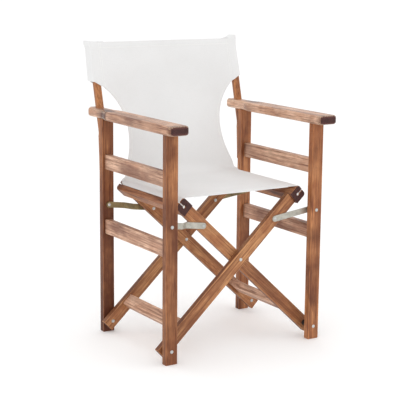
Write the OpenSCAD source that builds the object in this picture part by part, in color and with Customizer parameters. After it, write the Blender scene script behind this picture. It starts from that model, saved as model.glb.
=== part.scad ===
// Folding director's chair: two upright side frames, two crossed frames, four link bars, one canvas.
// Origin at the centre of the footprint box on the floor. +X to the sitter's left, +Y back, +Z up.

/* [Overall] */
// Width across the two armrests
overall_w = 570; // [520:1:620]
// Depth from the armrest nose to the back of the canvas
overall_d = 540; // [520:1:600]
// Height of the top edge of the back canvas
overall_h = 885; // [840:1:940]
// Height of the armrest's upper face
arm_h = 690; // [670:1:730]
// Height of the seat canvas over the seat rails
seat_h = 477; // [455:1:510]

/* [Side frames] */
// Depth from the front leg's front face to the rear leg's rear face
frame_d = 404; // [370:1:430]
// Width of a leg, seen from the front
leg_w = 38; // [32:1:44]
// Thickness of a leg, seen from the side
leg_t = 22; // [18:1:26]
// How far the armrest stands out past the leg
arm_overhang = 15.5; // [6:0.5:24]
// How far the armrest reaches in front of the front leg
arm_nose = 45; // [20:1:60]
// Height of a side slat
slat_h = 44; // [36:1:52]
// Thickness of a side slat
slat_t = 20; // [16:1:22]
// How far the slats lie outward of the leg's middle
slat_shift = 2; // [0:0.5:4]
// Height of the upper slat's middle
upper_slat_z = 533; // [500:1:545]
// Height of the lower slat's middle
lower_slat_z = 334; // [300:1:350]

/* [Armrests] */
// Width of the armrest
arm_w = 64; // [52:1:70]
// Thickness of the armrest
arm_t = 27; // [18:1:28]
// Width of the narrow tongue behind the rear leg
tongue_w = 43; // [38:1:46]
// How far the tongue reaches behind the rear leg
tongue_d = 71; // [60:1:80]
// Length of the curve between the wide part and the tongue
tongue_curve = 48; // [30:1:60]

/* [Back posts] */
// Width of a back post, seen from the front
post_w = 22; // [18:1:26]
// Thickness of a back post, seen from the side
post_t = 16; // [14:1:20]
// Lean of the back posts, in degrees
post_lean = 14.6; // [8:0.1:16]
// Height of a back post's lower end
post_foot_z = 500; // [440:1:540]

/* [Crossed frames] */
// Width of a crossed leg
cross_w = 38; // [32:1:44]
// Thickness of a crossed leg
cross_t = 19; // [16:1:22]
// Height of the foot pivots
foot_pivot_z = 39.5; // [34:0.5:50]
// Height of the middle pivots
cross_pivot_z = 273; // [250:1:285]
// How far a crossed leg runs past its foot pivot
foot_end = 22; // [16:1:24]
// Gap between an upright leg and the crossed leg beside it
side_gap = 7; // [6:0.5:9]
// Gap between two crossed legs, filled by a washer
cross_gap = 1; // [0.8:0.1:2]
// Distance along the crossed leg from the foot pivot to the stretcher
stretcher_at = 61; // [50:1:75]
// Width of a stretcher along the crossed leg
stretcher_w = 37; // [30:1:42]
// Thickness of a stretcher
stretcher_t = 24; // [18:1:26]
// How much wider the right stretcher's rear end is
stretcher_flare = 18; // [8:1:24]

/* [Seat rails] */
// Side of the square seat rail
rail_s = 40; // [36:1:44]
// Radius of its upper and outer corners
rail_soft_r = 9; // [5:0.5:10]
// How far the rail's middle lies below the crossed legs' middle line, square to them
rail_drop = 5; // [0:0.5:8]
// Gap between a rail's end and the upright leg
rail_gap = 1.5; // [1:0.1:4]
// Width of the slot that holds the canvas
slot_w = 3.6; // [3:0.1:5]
// Radius of the bore that holds the hem rod
keyhole_r = 4.6; // [4:0.1:6]
// Radius of the hem rod
hem_rod_r = 2.6; // [2:0.1:3.4]

/* [Link bars] */
// Height of the link bars' pivots on the upright legs
link_pivot_z = 401.5; // [395:0.5:405]
// Distance of the link bars' inner ends from the middle pivot
link_reach = 162; // [150:1:170]
// Width of a link bar
link_w = 18; // [14:1:20]
// Thickness of a link bar
link_t = 2.5; // [2:0.1:3]

/* [Fasteners] */
// Radius of the pivot bolts
bolt_r = 3; // [2.5:0.1:3.5]
// Radius of the bolts' round heads
head_r = 5.4; // [5:0.1:6.5]
// Height of the bolts' round heads
head_h = 2.8; // [2:0.1:3.5]
// Radius of the wooden dowels
dowel_r = 4; // [3:0.5:5]
// Radial clearance of a bolt in its bore
run_clear = 0.05; // [0.02:0.01:0.1]

/* [Canvas] */
// Thickness of the canvas
canvas_t = 1.6; // [1:0.1:2]
// Length of the sleeves around the posts
sleeve_l = 121; // [100:1:140]
// Width of the back canvas at its narrowest
waist_w = 331; // [300:1:360]
// Height of the narrowest place
waist_z = 616; // [600:1:640]
// Radius of the side cut above the waist
cut_upper_r = 181; // [175:1:220]
// Radius of the side cut below the waist
cut_lower_r = 241; // [220:1:280]
// Radius of the bend between the seat and the back
bend_r = 45; // [30:1:60]

/* [Hidden] */
$fn = 48;

left = -1;
right = 1;
outer = 1;
inner = -1;
soft_r = 2;
eps = 0.01;

// Upright side frames
leg_x = overall_w / 2 - arm_overhang - leg_w / 2;
front_y = -overall_d / 2 + arm_nose;
rear_y = front_y + frame_d;
middle_y = (front_y + rear_y) / 2;
half_d = frame_d / 2;
leg_top = arm_h - arm_t;
arm_outer_x = overall_w / 2;
arm_inner_x = arm_outer_x - arm_w;
tongue_end_y = rear_y + tongue_d;

// Back posts: upright against the rear leg, then leaning
lean_tan = tan(post_lean);
post_d = post_t / cos(post_lean);
post_top_z = overall_h - 3;
sleeve_gap = 0.4;
sleeve_wall = canvas_t + 0.4;
post_top_y = overall_d / 2 - sleeve_gap - sleeve_wall - post_d;
post_kink_z = post_top_z - (post_top_y - rear_y) / lean_tan;
function post_front_y(z) = rear_y + max(0, z - post_kink_z) * lean_tan;
lap_top_z = min(post_kink_z, leg_top);

// Crossed frames: positions along a crossed leg are measured from the middle pivot
cross_rise = cross_pivot_z - foot_pivot_z;
cross_angle = atan2(cross_rise, leg_x);
foot_u = -norm([leg_x, cross_rise]);
layer_outer = half_d - leg_t - side_gap - cross_t;
layer_inner = layer_outer - cross_gap - cross_t;
rail_corner = rail_s / 2 * (sin(cross_angle) + cos(cross_angle)) - rail_soft_r * (sqrt(2) - 1);
rail_z = seat_h - canvas_t - 0.4 - rail_corner;
rail_u = (rail_z - cross_pivot_z + rail_drop * cos(cross_angle)) / sin(cross_angle);
rail_half_l = half_d - leg_t - rail_gap;
rail_x = rail_u * cos(cross_angle) + rail_drop * sin(cross_angle);
stretcher_lo = foot_u + stretcher_at;
stretcher_v = 3;

// Link bars: the inner end lies on the crossed leg's middle line
link_dx = leg_x - link_reach * cos(cross_angle);
link_dz = cross_pivot_z + link_reach * sin(cross_angle) - link_pivot_z;
link_l = norm([link_dx, link_dz]);
link_angle = atan2(link_dz, link_dx);
link_clear = 0.3;
link_face = layer_outer + cross_t + link_clear;
joggle = cross_t + cross_gap;
spacer_l = half_d - leg_t - link_face - link_t;

// Canvas
seat_top = seat_h;
seat_front_y = middle_y - rail_half_l + 2.5;
seat_half_w = rail_x - 2;
back_front_y = post_front_y(seat_top) - (post_kink_z - seat_top) * lean_tan - canvas_t - 0.5;
bend_angle = 90 - post_lean;
bend_run = bend_r * tan(bend_angle / 2);
bend_top_z = seat_top + bend_run * cos(post_lean);

// ---------------------------------------------------------------- outlines

// Corner radii run anticlockwise from the corner at +x +y
function soft_box(w, h, radii, steps = 5) = [
    for (q = [0:3])
        let (r = radii[q], sx = (q == 0 || q == 3) ? 1 : -1, sy = (q < 2) ? 1 : -1)
            for (i = [0:steps])
                [sx * (w / 2 - r) + r * cos(90 * q + 90 * i / steps),
                 sy * (h / 2 - r) + r * sin(90 * q + 90 * i / steps)]];

// A smooth step from 0 to 1
function ease(t) = t * t * (3 - 2 * t);

module board(length, w, t, r = soft_r) {
    linear_extrude(length) polygon(soft_box(w, t, [r, r, r, r], 3));
}

// A board along +X, its width along Z and its thickness along Y
module beam(length, w, t, r = soft_r) {
    rotate([0, 90, 0]) board(length, w, t, r);
}

module side(s) {
    if (s == left) mirror([1, 0, 0]) children();
    else children();
}

// Children's +X runs up a crossed leg from the middle pivot; outer rises to the right
module along_cross(s) {
    if (s == outer) translate([0, middle_y, cross_pivot_z]) rotate([0, -cross_angle, 0]) children();
    else mirror([1, 0, 0])
        translate([0, middle_y, cross_pivot_z]) rotate([0, -cross_angle, 0]) children();
}

// Front copy for end = -1, rear copy for end = 1, each measured from the chair's middle
module at_end(end) {
    if (end < 0) mirror([0, 1, 0]) children();
    else children();
}

// A bore or a plain shaft along +Y
module shaft(r, from_y, to_y) {
    translate([0, from_y, 0]) rotate([-90, 0, 0]) cylinder(r = r, h = to_y - from_y);
}

// A round head whose flat side is at y and whose dome points along dir
module round_head(y, dir) {
    translate([0, y, 0]) rotate([-90 * dir, 0, 0]) rotate_extrude() intersection() {
        translate([0, head_h - head_r * 1.4]) circle(r = head_r * 1.4);
        square([head_r, head_h]);
    }
}

module hex_nut(y, dir, h = 4.5) {
    translate([0, y, 0]) rotate([-90 * dir, 0, 0]) difference() {
        cylinder(r = 5.6, h = h, $fn = 6);
        translate([0, 0, -eps]) cylinder(r = bolt_r + run_clear, h = h + 2 * eps);
    }
}

module ring(r_in, r_out, from_y, to_y) {
    difference() {
        shaft(r_out, from_y, to_y);
        shaft(r_in, from_y - eps, to_y + eps);
    }
}

// ---------------------------------------------------------------- side frames

slat_ends = half_d - leg_t;
dowel_in = 13;
dowel_fit = 0.03;
slat_dowel_dz = 11;
arm_dowel_dx = 9;

module slat_dowel_places() {
    for (z = [upper_slat_z, lower_slat_z], dz = [-slat_dowel_dz, slat_dowel_dz])
        translate([leg_x + slat_shift, middle_y, z + dz]) children();
}

module arm_dowel_places(end) {
    for (dx = [-arm_dowel_dx, arm_dowel_dx])
        translate([leg_x + dx, middle_y + end * (half_d - leg_t / 2), leg_top]) children();
}

module foot_place() {
    translate([leg_x, middle_y, foot_pivot_z]) children();
}

module link_place() {
    translate([leg_x, middle_y, link_pivot_z]) children();
}

module leg(s, end) {
    color([0.60, 0.38, 0.26]) side(s) difference() {
        translate([leg_x, middle_y + end * (half_d - leg_t / 2), 0]) board(leg_top, leg_w, leg_t);
        for (z = [foot_pivot_z, link_pivot_z])
            translate([leg_x, middle_y, z]) at_end(end)
                shaft(bolt_r + run_clear, half_d - leg_t - 1, half_d + 1);
        slat_dowel_places() at_end(end)
            shaft(dowel_r + dowel_fit, slat_ends - 1, slat_ends + dowel_in + dowel_fit);
        arm_dowel_places(end) translate([0, 0, -dowel_in - dowel_fit])
            cylinder(r = dowel_r + dowel_fit, h = dowel_in + 1);
        if (end > 0) post_screw_places() shaft(screw_r + dowel_fit, -screw_bite - dowel_fit, 1);
    }
}

module slat(s, z) {
    color([0.66, 0.46, 0.35]) side(s) difference() {
        translate([leg_x + slat_shift, middle_y - slat_ends, z]) rotate([-90, 0, 0])
            board(2 * slat_ends, slat_t, slat_h);
        slat_dowel_places() for (end = [-1, 1]) at_end(end)
            shaft(dowel_r + dowel_fit, slat_ends - dowel_in - dowel_fit, slat_ends + 1);
    }
}

module frame_dowels(s) {
    color("burlywood") side(s) slat_dowel_places() for (end = [-1, 1]) at_end(end)
        shaft(dowel_r, slat_ends - dowel_in, slat_ends + dowel_in);
}

module arm_dowels(s) {
    color("burlywood") side(s) for (end = [-1, 1]) arm_dowel_places(end)
        translate([0, 0, -dowel_in]) cylinder(r = dowel_r, h = 2 * dowel_in);
}

// ---------------------------------------------------------------- armrests and posts

nose_r = 14;
tongue_r = 12;
curve_y0 = rear_y - leg_t - tongue_curve;
tongue_x0 = leg_x - tongue_w / 2 + 1;
tongue_x1 = tongue_x0 + tongue_w;

function arc(cx, cy, r, a0, a1, n = 6) = [
    for (i = [0:n]) let (a = a0 + (a1 - a0) * i / n) [cx + r * cos(a), cy + r * sin(a)]];

function armrest_outline() = concat(
    arc(arm_inner_x + nose_r, -overall_d / 2 + nose_r, nose_r, 180, 270),
    arc(arm_outer_x - nose_r, -overall_d / 2 + nose_r, nose_r, 270, 360),
    [for (t = [0:0.125:1]) [arm_outer_x + (tongue_x1 - arm_outer_x) * ease(t), curve_y0 + tongue_curve * t]],
    arc(tongue_x1 - tongue_r, tongue_end_y - tongue_r, tongue_r, 0, 90),
    arc(tongue_x0 + tongue_r, tongue_end_y - tongue_r, tongue_r, 90, 180),
    [for (t = [1:-0.125:0]) [arm_inner_x + (tongue_x0 - arm_inner_x) * ease(t), curve_y0 + tongue_curve * t]]);

post_fit = 0.3;

// The post's side view, widened by gap in depth
module post_side(w, gap, z0, z1) {
    rotate([90, 0, 90]) translate([0, 0, leg_x - w / 2]) linear_extrude(w)
        polygon([
            [post_front_y(z0) - gap, z0],
            [post_front_y(z0) + post_d + gap, z0],
            if (z0 < post_kink_z) [rear_y + post_d + gap, post_kink_z],
            [post_front_y(z1) + post_d + gap, z1],
            [post_front_y(z1) - gap, z1],
            if (z0 < post_kink_z) [rear_y - gap, post_kink_z]]);
}

module armrest(s) {
    color([0.68, 0.48, 0.38]) side(s) difference() {
        translate([0, 0, leg_top]) linear_extrude(arm_t) polygon(armrest_outline());
        post_side(post_w + 2 * post_fit, post_fit, leg_top - 1, arm_h + 1);
        for (end = [-1, 1]) arm_dowel_places(end) translate([0, 0, -1])
            cylinder(r = dowel_r + dowel_fit, h = 1 + dowel_in + dowel_fit);
    }
}

screw_r = 2.2;
screw_bite = 16;
screw_head_r = 4.6;
screw_head_h = 2.4;

module post_screw_places() {
    for (z = [upper_slat_z, lap_top_z - 24]) translate([leg_x, rear_y, z]) children();
}

module back_post(s) {
    color([0.56, 0.34, 0.22]) side(s) difference() {
        post_side(post_w, 0, post_foot_z, post_top_z);
        post_screw_places() {
            shaft(screw_r + dowel_fit, -1, post_d + 1);
            shaft(screw_head_r + 0.2, post_d - screw_head_h - 0.2, post_d + 1);
        }
    }
}

module post_screws(s) {
    color("silver") side(s) post_screw_places() {
        shaft(screw_r, -screw_bite, post_d - screw_head_h / 2);
        shaft(screw_head_r, post_d - screw_head_h, post_d);
    }
}

// ---------------------------------------------------------------- crossed frames

module member(s, end, y0) {
    color([0.62, 0.41, 0.29]) difference() {
        along_cross(s) at_end(end) translate([foot_u - foot_end, y0 + cross_t / 2, 0])
            beam(rail_u - rail_s / 2 - foot_u + foot_end, cross_w, cross_t);
        along_cross(s) at_end(end) {
            for (u = [foot_u, 0, link_reach]) translate([u, 0, 0])
                shaft(bolt_r + run_clear, y0 - 1, y0 + cross_t + 1);
            for (v = tenon_v) translate([rail_u - rail_s / 2 - tenon_l - dowel_fit, y0 + cross_t / 2, v])
                rotate([0, 90, 0]) cylinder(r = dowel_r + dowel_fit, h = tenon_l + 1);
        }
        stretcher_dowel_places(s) at_end(end)
            shaft(dowel_r + dowel_fit, y0 - 1, y0 + dowel_in - 2 + dowel_fit);
    }
}

tenon_l = 16;
tenon_in = 12;
tenon_v = [-rail_drop / 2 - 10, -rail_drop / 2 + 10];

module stretcher_dowel_places(s) {
    for (k = [0.27, 0.73]) along_cross(s)
        translate([stretcher_lo + stretcher_w * k, 0, stretcher_v]) children();
}

// Half the length of a stretcher, up to the crossed legs that it joins
function stretcher_half(s) = s == outer ? layer_outer : layer_inner;

// The upper edge of the right stretcher swells towards its rear end
function stretcher_outline(s) = let (l = stretcher_half(s), flare = s == inner ? stretcher_flare : 0) concat(
    [[0, -l], [stretcher_w, -l]],
    [for (t = [0:0.1:1]) [stretcher_w + flare * t * t, l - 62 * (1 - t)]],
    [[0, l]]);

module stretcher(s) {
    color([0.66, 0.46, 0.36]) difference() {
        along_cross(s) translate([stretcher_lo, 0, stretcher_v - stretcher_t / 2])
            linear_extrude(stretcher_t) polygon(stretcher_outline(s));
        stretcher_dowel_places(s) for (end = [-1, 1]) at_end(end)
            shaft(dowel_r + dowel_fit, stretcher_half(s) - dowel_in - dowel_fit, stretcher_half(s) + 1);
    }
}

module rail_section() {
    difference() {
        polygon(soft_box(rail_s, rail_s, [rail_soft_r, 2, 2, rail_soft_r]));
        translate([0, -slot_w / 2]) square([rail_s, slot_w]);
    }
}

module seat_rail(s) {
    color([0.42, 0.27, 0.22]) along_cross(s) translate([rail_u, 0, -rail_drop]) difference() {
        translate([0, rail_half_l, 0]) rotate([90, 0, 0]) linear_extrude(2 * rail_half_l) rail_section();
        shaft(keyhole_r, -rail_half_l - 1, rail_half_l + 1);
        for (end = [-1, 1], v = tenon_v) at_end(end)
            translate([-rail_s / 2 - 1, tenon_y(s), v + rail_drop]) rotate([0, 90, 0])
                cylinder(r = dowel_r + dowel_fit, h = tenon_in + 1 + dowel_fit);
    }
}

function tenon_y(s) = (s == outer ? layer_outer : layer_inner) + cross_t / 2;

module cross_dowels(s) {
    color("burlywood") {
        along_cross(s) for (end = [-1, 1], v = tenon_v) at_end(end)
            translate([rail_u - rail_s / 2 - tenon_l, tenon_y(s), v]) rotate([0, 90, 0])
                cylinder(r = dowel_r, h = tenon_l + tenon_in);
        stretcher_dowel_places(s) for (end = [-1, 1]) at_end(end)
            shaft(dowel_r, stretcher_half(s) - dowel_in, stretcher_half(s) + dowel_in - 2);
    }
}

module hem_rod(s) {
    color("white") along_cross(s) translate([rail_u, 0, -rail_drop])
        shaft(hem_rod_r, -rail_half_l + 1, rail_half_l - 20);
}

// The canvas comes in through the slot and is sewn into a loop around the rod
module hem(s) {
    color("white") along_cross(s) translate([rail_u, 0, -rail_drop]) difference() {
        union() {
            shaft(keyhole_r - 0.1, -rail_half_l + 3, rail_half_l - 22);
            translate([0, -rail_half_l + 3, -hem_t / 2]) cube([rail_s / 2, 2 * rail_half_l - 25, hem_t]);
        }
        shaft(hem_rod_r + dowel_fit, -rail_half_l, rail_half_l);
    }
}

hem_t = slot_w - 0.4;

// ---------------------------------------------------------------- pivots

// The left feet carry the outer crossed frame and the right feet the inner one
function foot_layer_y(s) = s == left ? layer_outer : layer_inner;

module foot_bolts(s) {
    color("gainsboro") side(s) foot_place() for (end = [-1, 1]) at_end(end) {
        shaft(bolt_r, foot_layer_y(s) - (end < 0 ? 6 : 0), half_d + (end < 0 ? 0 : 6));
        if (end < 0) round_head(half_d, 1);
        else round_head(foot_layer_y(s), -1);
    }
}

module foot_nuts(s) {
    color("gainsboro") side(s) foot_place() {
        at_end(-1) hex_nut(foot_layer_y(s), -1);
        hex_nut(half_d, 1);
    }
}

module foot_spacers(s) {
    color("dimgray") side(s) foot_place() for (end = [-1, 1]) at_end(end)
        ring(bolt_r + run_clear, 8, foot_layer_y(s) + cross_t + 0.1, half_d - leg_t - 0.1);
}

module centre_bolts() {
    color("gainsboro") translate([0, middle_y, cross_pivot_z]) {
        at_end(-1) {
            shaft(bolt_r, layer_inner - 6, layer_outer + cross_t);
            round_head(layer_outer + cross_t, 1);
        }
        shaft(bolt_r, layer_inner, layer_outer + cross_t + 6);
        round_head(layer_inner, -1);
    }
}

module centre_nuts() {
    color("gainsboro") translate([0, middle_y, cross_pivot_z]) {
        at_end(-1) hex_nut(layer_inner, -1);
        hex_nut(layer_outer + cross_t, 1);
    }
}

module centre_washers() {
    color("silver") translate([0, middle_y, cross_pivot_z]) for (end = [-1, 1]) at_end(end)
        ring(bolt_r + run_clear, 9, layer_outer - cross_gap + 0.1, layer_outer - 0.1);
}

// ---------------------------------------------------------------- link bars

// Plan of a bar seen edge on: flat, or with a joggle to the inner crossed leg
function bar_plan(bend) = let (a = link_l * 0.36, b = link_l * 0.58, r = link_w / 2) [
    [-r, 0], [-r, link_t], [a, link_t], [b, link_t - bend], [link_l + r, link_t - bend],
    [link_l + r, -bend], [b, -bend], [a, 0]];

// bend is 0 for the outer crossed legs and one layer for the inner ones
module link_bar(s, end, bend) {
    color([0.78, 0.78, 0.72]) side(s) link_place() at_end(end) translate([0, link_face, 0])
        rotate([0, 180 + link_angle, 0]) difference() {
            intersection() {
                translate([0, 0, -link_w / 2]) linear_extrude(link_w) polygon(bar_plan(bend));
                union() {
                    shaft(link_w / 2, -bend - 1, link_t + 1);
                    translate([link_l, 0, 0]) shaft(link_w / 2, -bend - 1, link_t + 1);
                    translate([0, -bend - 1, -link_w / 2]) cube([link_l, bend + link_t + 2, link_w]);
                }
            }
            shaft(bolt_r + run_clear, -bend - 1, link_t + 1);
            translate([link_l, 0, 0]) shaft(rivet_r + dowel_fit, -bend - 1, link_t + 1);
        }
}

rivet_r = 2.5;

// A bolt through the upright leg and the bar's outer end, with its round head in front
module link_bolts(s) {
    color("gainsboro") side(s) link_place() for (end = [-1, 1]) at_end(end) {
        shaft(bolt_r, link_face - 0.8, half_d + (end > 0 ? 1.5 : 0));
        round_head(end < 0 ? half_d : link_face - 0.3, -end);
        if (end < 0) round_head(link_face - 0.3, -1);
        else shaft(head_r, half_d, half_d + 1.5);
    }
}

module link_spacers(s) {
    color([0.1, 0.1, 0.1]) side(s) link_place() for (end = [-1, 1]) at_end(end)
        ring(bolt_r + run_clear, 7.5, link_face + link_t + 0.1, half_d - leg_t - 0.1);
}

// The rivet turns with the bar and stops just short of the crossed leg
module link_rivets(s) {
    color("gainsboro") side(s) link_place() for (end = [-1, 1])
        at_end(end) rotate([0, 180 + link_angle, 0]) translate([link_l, link_face - rivet_drop(s), 0])
            shaft(rivet_r, 0, link_t + 1.6);
}

// The left bars reach the inner crossed legs and the right bars the outer ones
function rivet_drop(s) = s == left ? joggle : 0;

module link_member_bolts(s) {
    layer = s == outer ? layer_outer : layer_inner;
    color("gainsboro") along_cross(s) translate([link_reach, 0, 0]) for (end = [-1, 1]) at_end(end) {
        shaft(bolt_r, layer, layer + cross_t);
        round_head(layer, -1);
    }
}

// ---------------------------------------------------------------- canvas

// Half the width of the back canvas at a height, cut in by two arcs
function back_half_w(z) = let (
    d = (z - waist_z) / cos(post_lean), r = z > waist_z ? cut_upper_r : cut_lower_r)
    waist_w / 2 + r - sqrt(max(0, r * r - d * d));

sleeve_top_z = overall_h;
sleeve_foot_z = overall_h - sleeve_l * cos(post_lean);
sleeve_x0 = leg_x - post_w / 2 - sleeve_gap - sleeve_wall;
back_edge_x = sleeve_x0 - 0.4;

module back_canvas() {
    rise = (overall_h - bend_top_z) / cos(post_lean) - canvas_t * lean_tan;
    heights = [for (t = [0:0.0625:1]) bend_top_z + (sleeve_foot_z - 12 - bend_top_z) * t];
    edge = [for (z = heights) [min(back_edge_x, back_half_w(z)), (z - bend_top_z) / cos(post_lean)]];
    right_side = concat(edge, [[back_edge_x, (sleeve_foot_z - bend_top_z) / cos(post_lean)], [back_edge_x, rise]]);
    left_side = [for (i = [len(right_side) - 1:-1:0]) [-right_side[i][0], right_side[i][1]]];
    color("white") translate([0, back_front_y + (bend_top_z - seat_top) * lean_tan, bend_top_z])
        rotate([90 - post_lean, 0, 0]) linear_extrude(canvas_t) polygon(concat(right_side, left_side));
}

module sleeve(s) {
    foot = sleeve_foot_z;
    color("white") side(s) difference() {
        sleeve_block(post_w + 2 * (sleeve_gap + sleeve_wall), sleeve_gap + sleeve_wall, foot, sleeve_top_z);
        sleeve_block(post_w + 2 * sleeve_gap, sleeve_gap, foot - 1, post_top_z + sleeve_gap);
    }
}

module sleeve_block(w, gap, z0, z1) {
    top = min(z1, post_top_z);
    rotate([90, 0, 90]) translate([0, 0, leg_x - w / 2]) linear_extrude(w) polygon([
        [post_front_y(z0) - gap, z0], [post_front_y(z0) + post_d + gap, z0],
        [post_front_y(top) + post_d + gap, z1], [post_front_y(top) - gap, z1]]);
}

// A flat seat that bends up into the back, as a closed profile along X
module seat_canvas() {
    y1 = back_front_y - bend_run;
    low = seat_top - canvas_t;
    bend_low = [for (t = [0:0.125:1]) let (a = bend_angle * t)
        [y1 + (bend_r + canvas_t) * sin(a), seat_top + bend_r - (bend_r + canvas_t) * cos(a)]];
    bend_high = [for (t = [1:-0.125:0]) let (a = bend_angle * t)
        [y1 + bend_r * sin(a), seat_top + bend_r - bend_r * cos(a)]];
    color("white") intersection() {
        rotate([90, 0, 90]) translate([0, 0, -seat_half_w]) linear_extrude(2 * seat_half_w)
            polygon(concat([[seat_front_y, low]], bend_low, bend_high, [[seat_front_y, seat_top]]));
        translate([0, 0, low - 1]) linear_extrude(bend_top_z + canvas_t - low + 2)
            polygon(seat_outline(y1 - 6, back_front_y + (bend_top_z - seat_top) * lean_tan));
    }
}

// From above: straight sides along the rails, drawn in to the back's width over the bend
function seat_outline(y0, y1) = let (
    half = [for (t = [0:0.125:1]) [seat_half_w + (back_half_w(bend_top_z) - seat_half_w) * ease(t),
                                   y0 + (y1 - y0) * t]])
    concat([[seat_half_w, seat_front_y - 1]], half, [[half[8][0], y1 + 1], [-half[8][0], y1 + 1]],
           [for (i = [8:-1:0]) [-half[i][0], half[i][1]]], [[-seat_half_w, seat_front_y - 1]]);

// ---------------------------------------------------------------- pieces

leg(left, -1);  // left_front_leg
leg(left, 1);  // left_rear_leg
slat(left, upper_slat_z);  // left_upper_slat
slat(left, lower_slat_z);  // left_lower_slat
armrest(left);  // left_armrest
back_post(left);  // left_back_post
frame_dowels(left);  // left_frame_dowels
arm_dowels(left);  // left_arm_dowels
post_screws(left);  // left_post_screws
sleeve(left);  // left_sleeve
leg(right, -1);  // right_front_leg
leg(right, 1);  // right_rear_leg
slat(right, upper_slat_z);  // right_upper_slat
slat(right, lower_slat_z);  // right_lower_slat
armrest(right);  // right_armrest
back_post(right);  // right_back_post
frame_dowels(right);  // right_frame_dowels
arm_dowels(right);  // right_arm_dowels
post_screws(right);  // right_post_screws
sleeve(right);  // right_sleeve
member(outer, -1, layer_outer);  // front_outer_leg
member(outer, 1, layer_outer);  // rear_outer_leg
stretcher(outer);  // left_stretcher
seat_rail(outer);  // right_seat_rail
hem_rod(outer);  // right_hem_rod
cross_dowels(outer);  // outer_dowels
member(inner, -1, layer_inner);  // front_inner_leg
member(inner, 1, layer_inner);  // rear_inner_leg
stretcher(inner);  // right_stretcher
seat_rail(inner);  // left_seat_rail
hem_rod(inner);  // left_hem_rod
cross_dowels(inner);  // inner_dowels
hem(inner);  // left_hem
hem(outer);  // right_hem
foot_bolts(left);  // left_foot_bolts
foot_nuts(left);  // left_foot_nuts
foot_spacers(left);  // left_foot_spacers
foot_bolts(right);  // right_foot_bolts
foot_nuts(right);  // right_foot_nuts
foot_spacers(right);  // right_foot_spacers
centre_bolts();
centre_nuts();
centre_washers();
link_bar(left, -1, joggle);  // left_front_link
link_bar(left, 1, joggle);  // left_rear_link
link_bar(right, -1, 0);  // right_front_link
link_bar(right, 1, 0);  // right_rear_link
link_bolts(left);  // left_link_bolts
link_spacers(left);  // left_link_spacers
link_bolts(right);  // right_link_bolts
link_spacers(right);  // right_link_spacers
link_rivets(left);  // left_link_rivets
link_rivets(right);  // right_link_rivets
link_member_bolts(outer);  // outer_link_bolts
link_member_bolts(inner);  // inner_link_bolts
seat_canvas();
back_canvas();
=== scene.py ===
# %% [markdown]
# # A folding director's chair
# Two upright side frames carry two crossed frames between them, and one canvas sling makes the seat and
# the back. The wood is a stained hardwood, the bars and bolts are zinc-plated steel. The solids come
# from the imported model, which stays fixed: each visible piece is made again here with soft edges, grain,
# weave and thread, in the place that its solid gives.

# %% Load the fixed model
import math
import random

import bmesh
import bpy
from mathutils import Matrix, Vector, noise
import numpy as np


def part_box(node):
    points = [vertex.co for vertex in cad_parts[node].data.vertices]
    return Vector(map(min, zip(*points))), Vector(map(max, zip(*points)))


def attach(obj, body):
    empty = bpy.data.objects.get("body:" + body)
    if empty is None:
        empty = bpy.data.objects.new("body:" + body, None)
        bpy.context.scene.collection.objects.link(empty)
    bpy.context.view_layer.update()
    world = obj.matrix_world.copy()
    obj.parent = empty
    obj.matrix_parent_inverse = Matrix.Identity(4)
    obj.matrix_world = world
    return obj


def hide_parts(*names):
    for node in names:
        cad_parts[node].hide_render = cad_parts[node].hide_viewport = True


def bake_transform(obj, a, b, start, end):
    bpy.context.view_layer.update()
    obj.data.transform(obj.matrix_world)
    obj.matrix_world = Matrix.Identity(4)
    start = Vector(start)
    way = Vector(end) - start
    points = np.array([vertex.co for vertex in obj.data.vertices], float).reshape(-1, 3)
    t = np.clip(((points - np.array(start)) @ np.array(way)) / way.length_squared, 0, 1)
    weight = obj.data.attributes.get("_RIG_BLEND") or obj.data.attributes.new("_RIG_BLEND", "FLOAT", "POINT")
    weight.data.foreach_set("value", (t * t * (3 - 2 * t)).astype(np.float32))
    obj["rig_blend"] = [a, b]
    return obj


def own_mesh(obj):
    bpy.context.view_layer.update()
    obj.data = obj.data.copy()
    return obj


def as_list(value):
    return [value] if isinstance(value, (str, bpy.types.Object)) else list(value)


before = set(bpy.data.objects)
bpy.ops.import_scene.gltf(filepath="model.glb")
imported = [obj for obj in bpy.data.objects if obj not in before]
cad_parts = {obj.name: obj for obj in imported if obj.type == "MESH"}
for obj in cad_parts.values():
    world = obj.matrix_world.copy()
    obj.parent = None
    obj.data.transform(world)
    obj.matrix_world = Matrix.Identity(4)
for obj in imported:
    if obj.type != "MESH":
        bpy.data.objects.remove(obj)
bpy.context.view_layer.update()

# %% [markdown]
# ## Camera
# The chair is seen from the front left, a little above the arms, through a long lens. A long lens keeps
# the upright legs nearly parallel. The camera is turned about the upright axis first, then tipped down,
# then rolled by half a degree.

# %% Camera
EYE = Vector((-1.971, -3.142, 1.142))
TURN, TIP, ROLL = math.radians(32.21), math.radians(11.42), math.radians(0.58)
SENSOR, FOCAL = 36.0, 107.67
lens = bpy.data.cameras.new("studio_lens")
lens.sensor_width, lens.lens = SENSOR, FOCAL
camera = bpy.data.objects.new("studio_camera", lens)
camera.matrix_world = (Matrix.Translation(EYE) @ Matrix.Rotation(-TURN, 4, "Z")
                       @ Matrix.Rotation(math.pi / 2 - TIP, 4, "X") @ Matrix.Rotation(ROLL, 4, "Z"))
bpy.context.scene.collection.objects.link(camera)
bpy.context.scene.camera = camera
bpy.context.scene.view_settings.view_transform = "Standard"
print("camera at", [round(v, 2) for v in EYE])

# %% [markdown]
# ## Shader wires
# A shader graph is easier to read as arithmetic. A `Wire` is one output socket, and adding or
# multiplying wires adds Math nodes. A `Finish` is one material with one method that makes any node.

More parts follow.
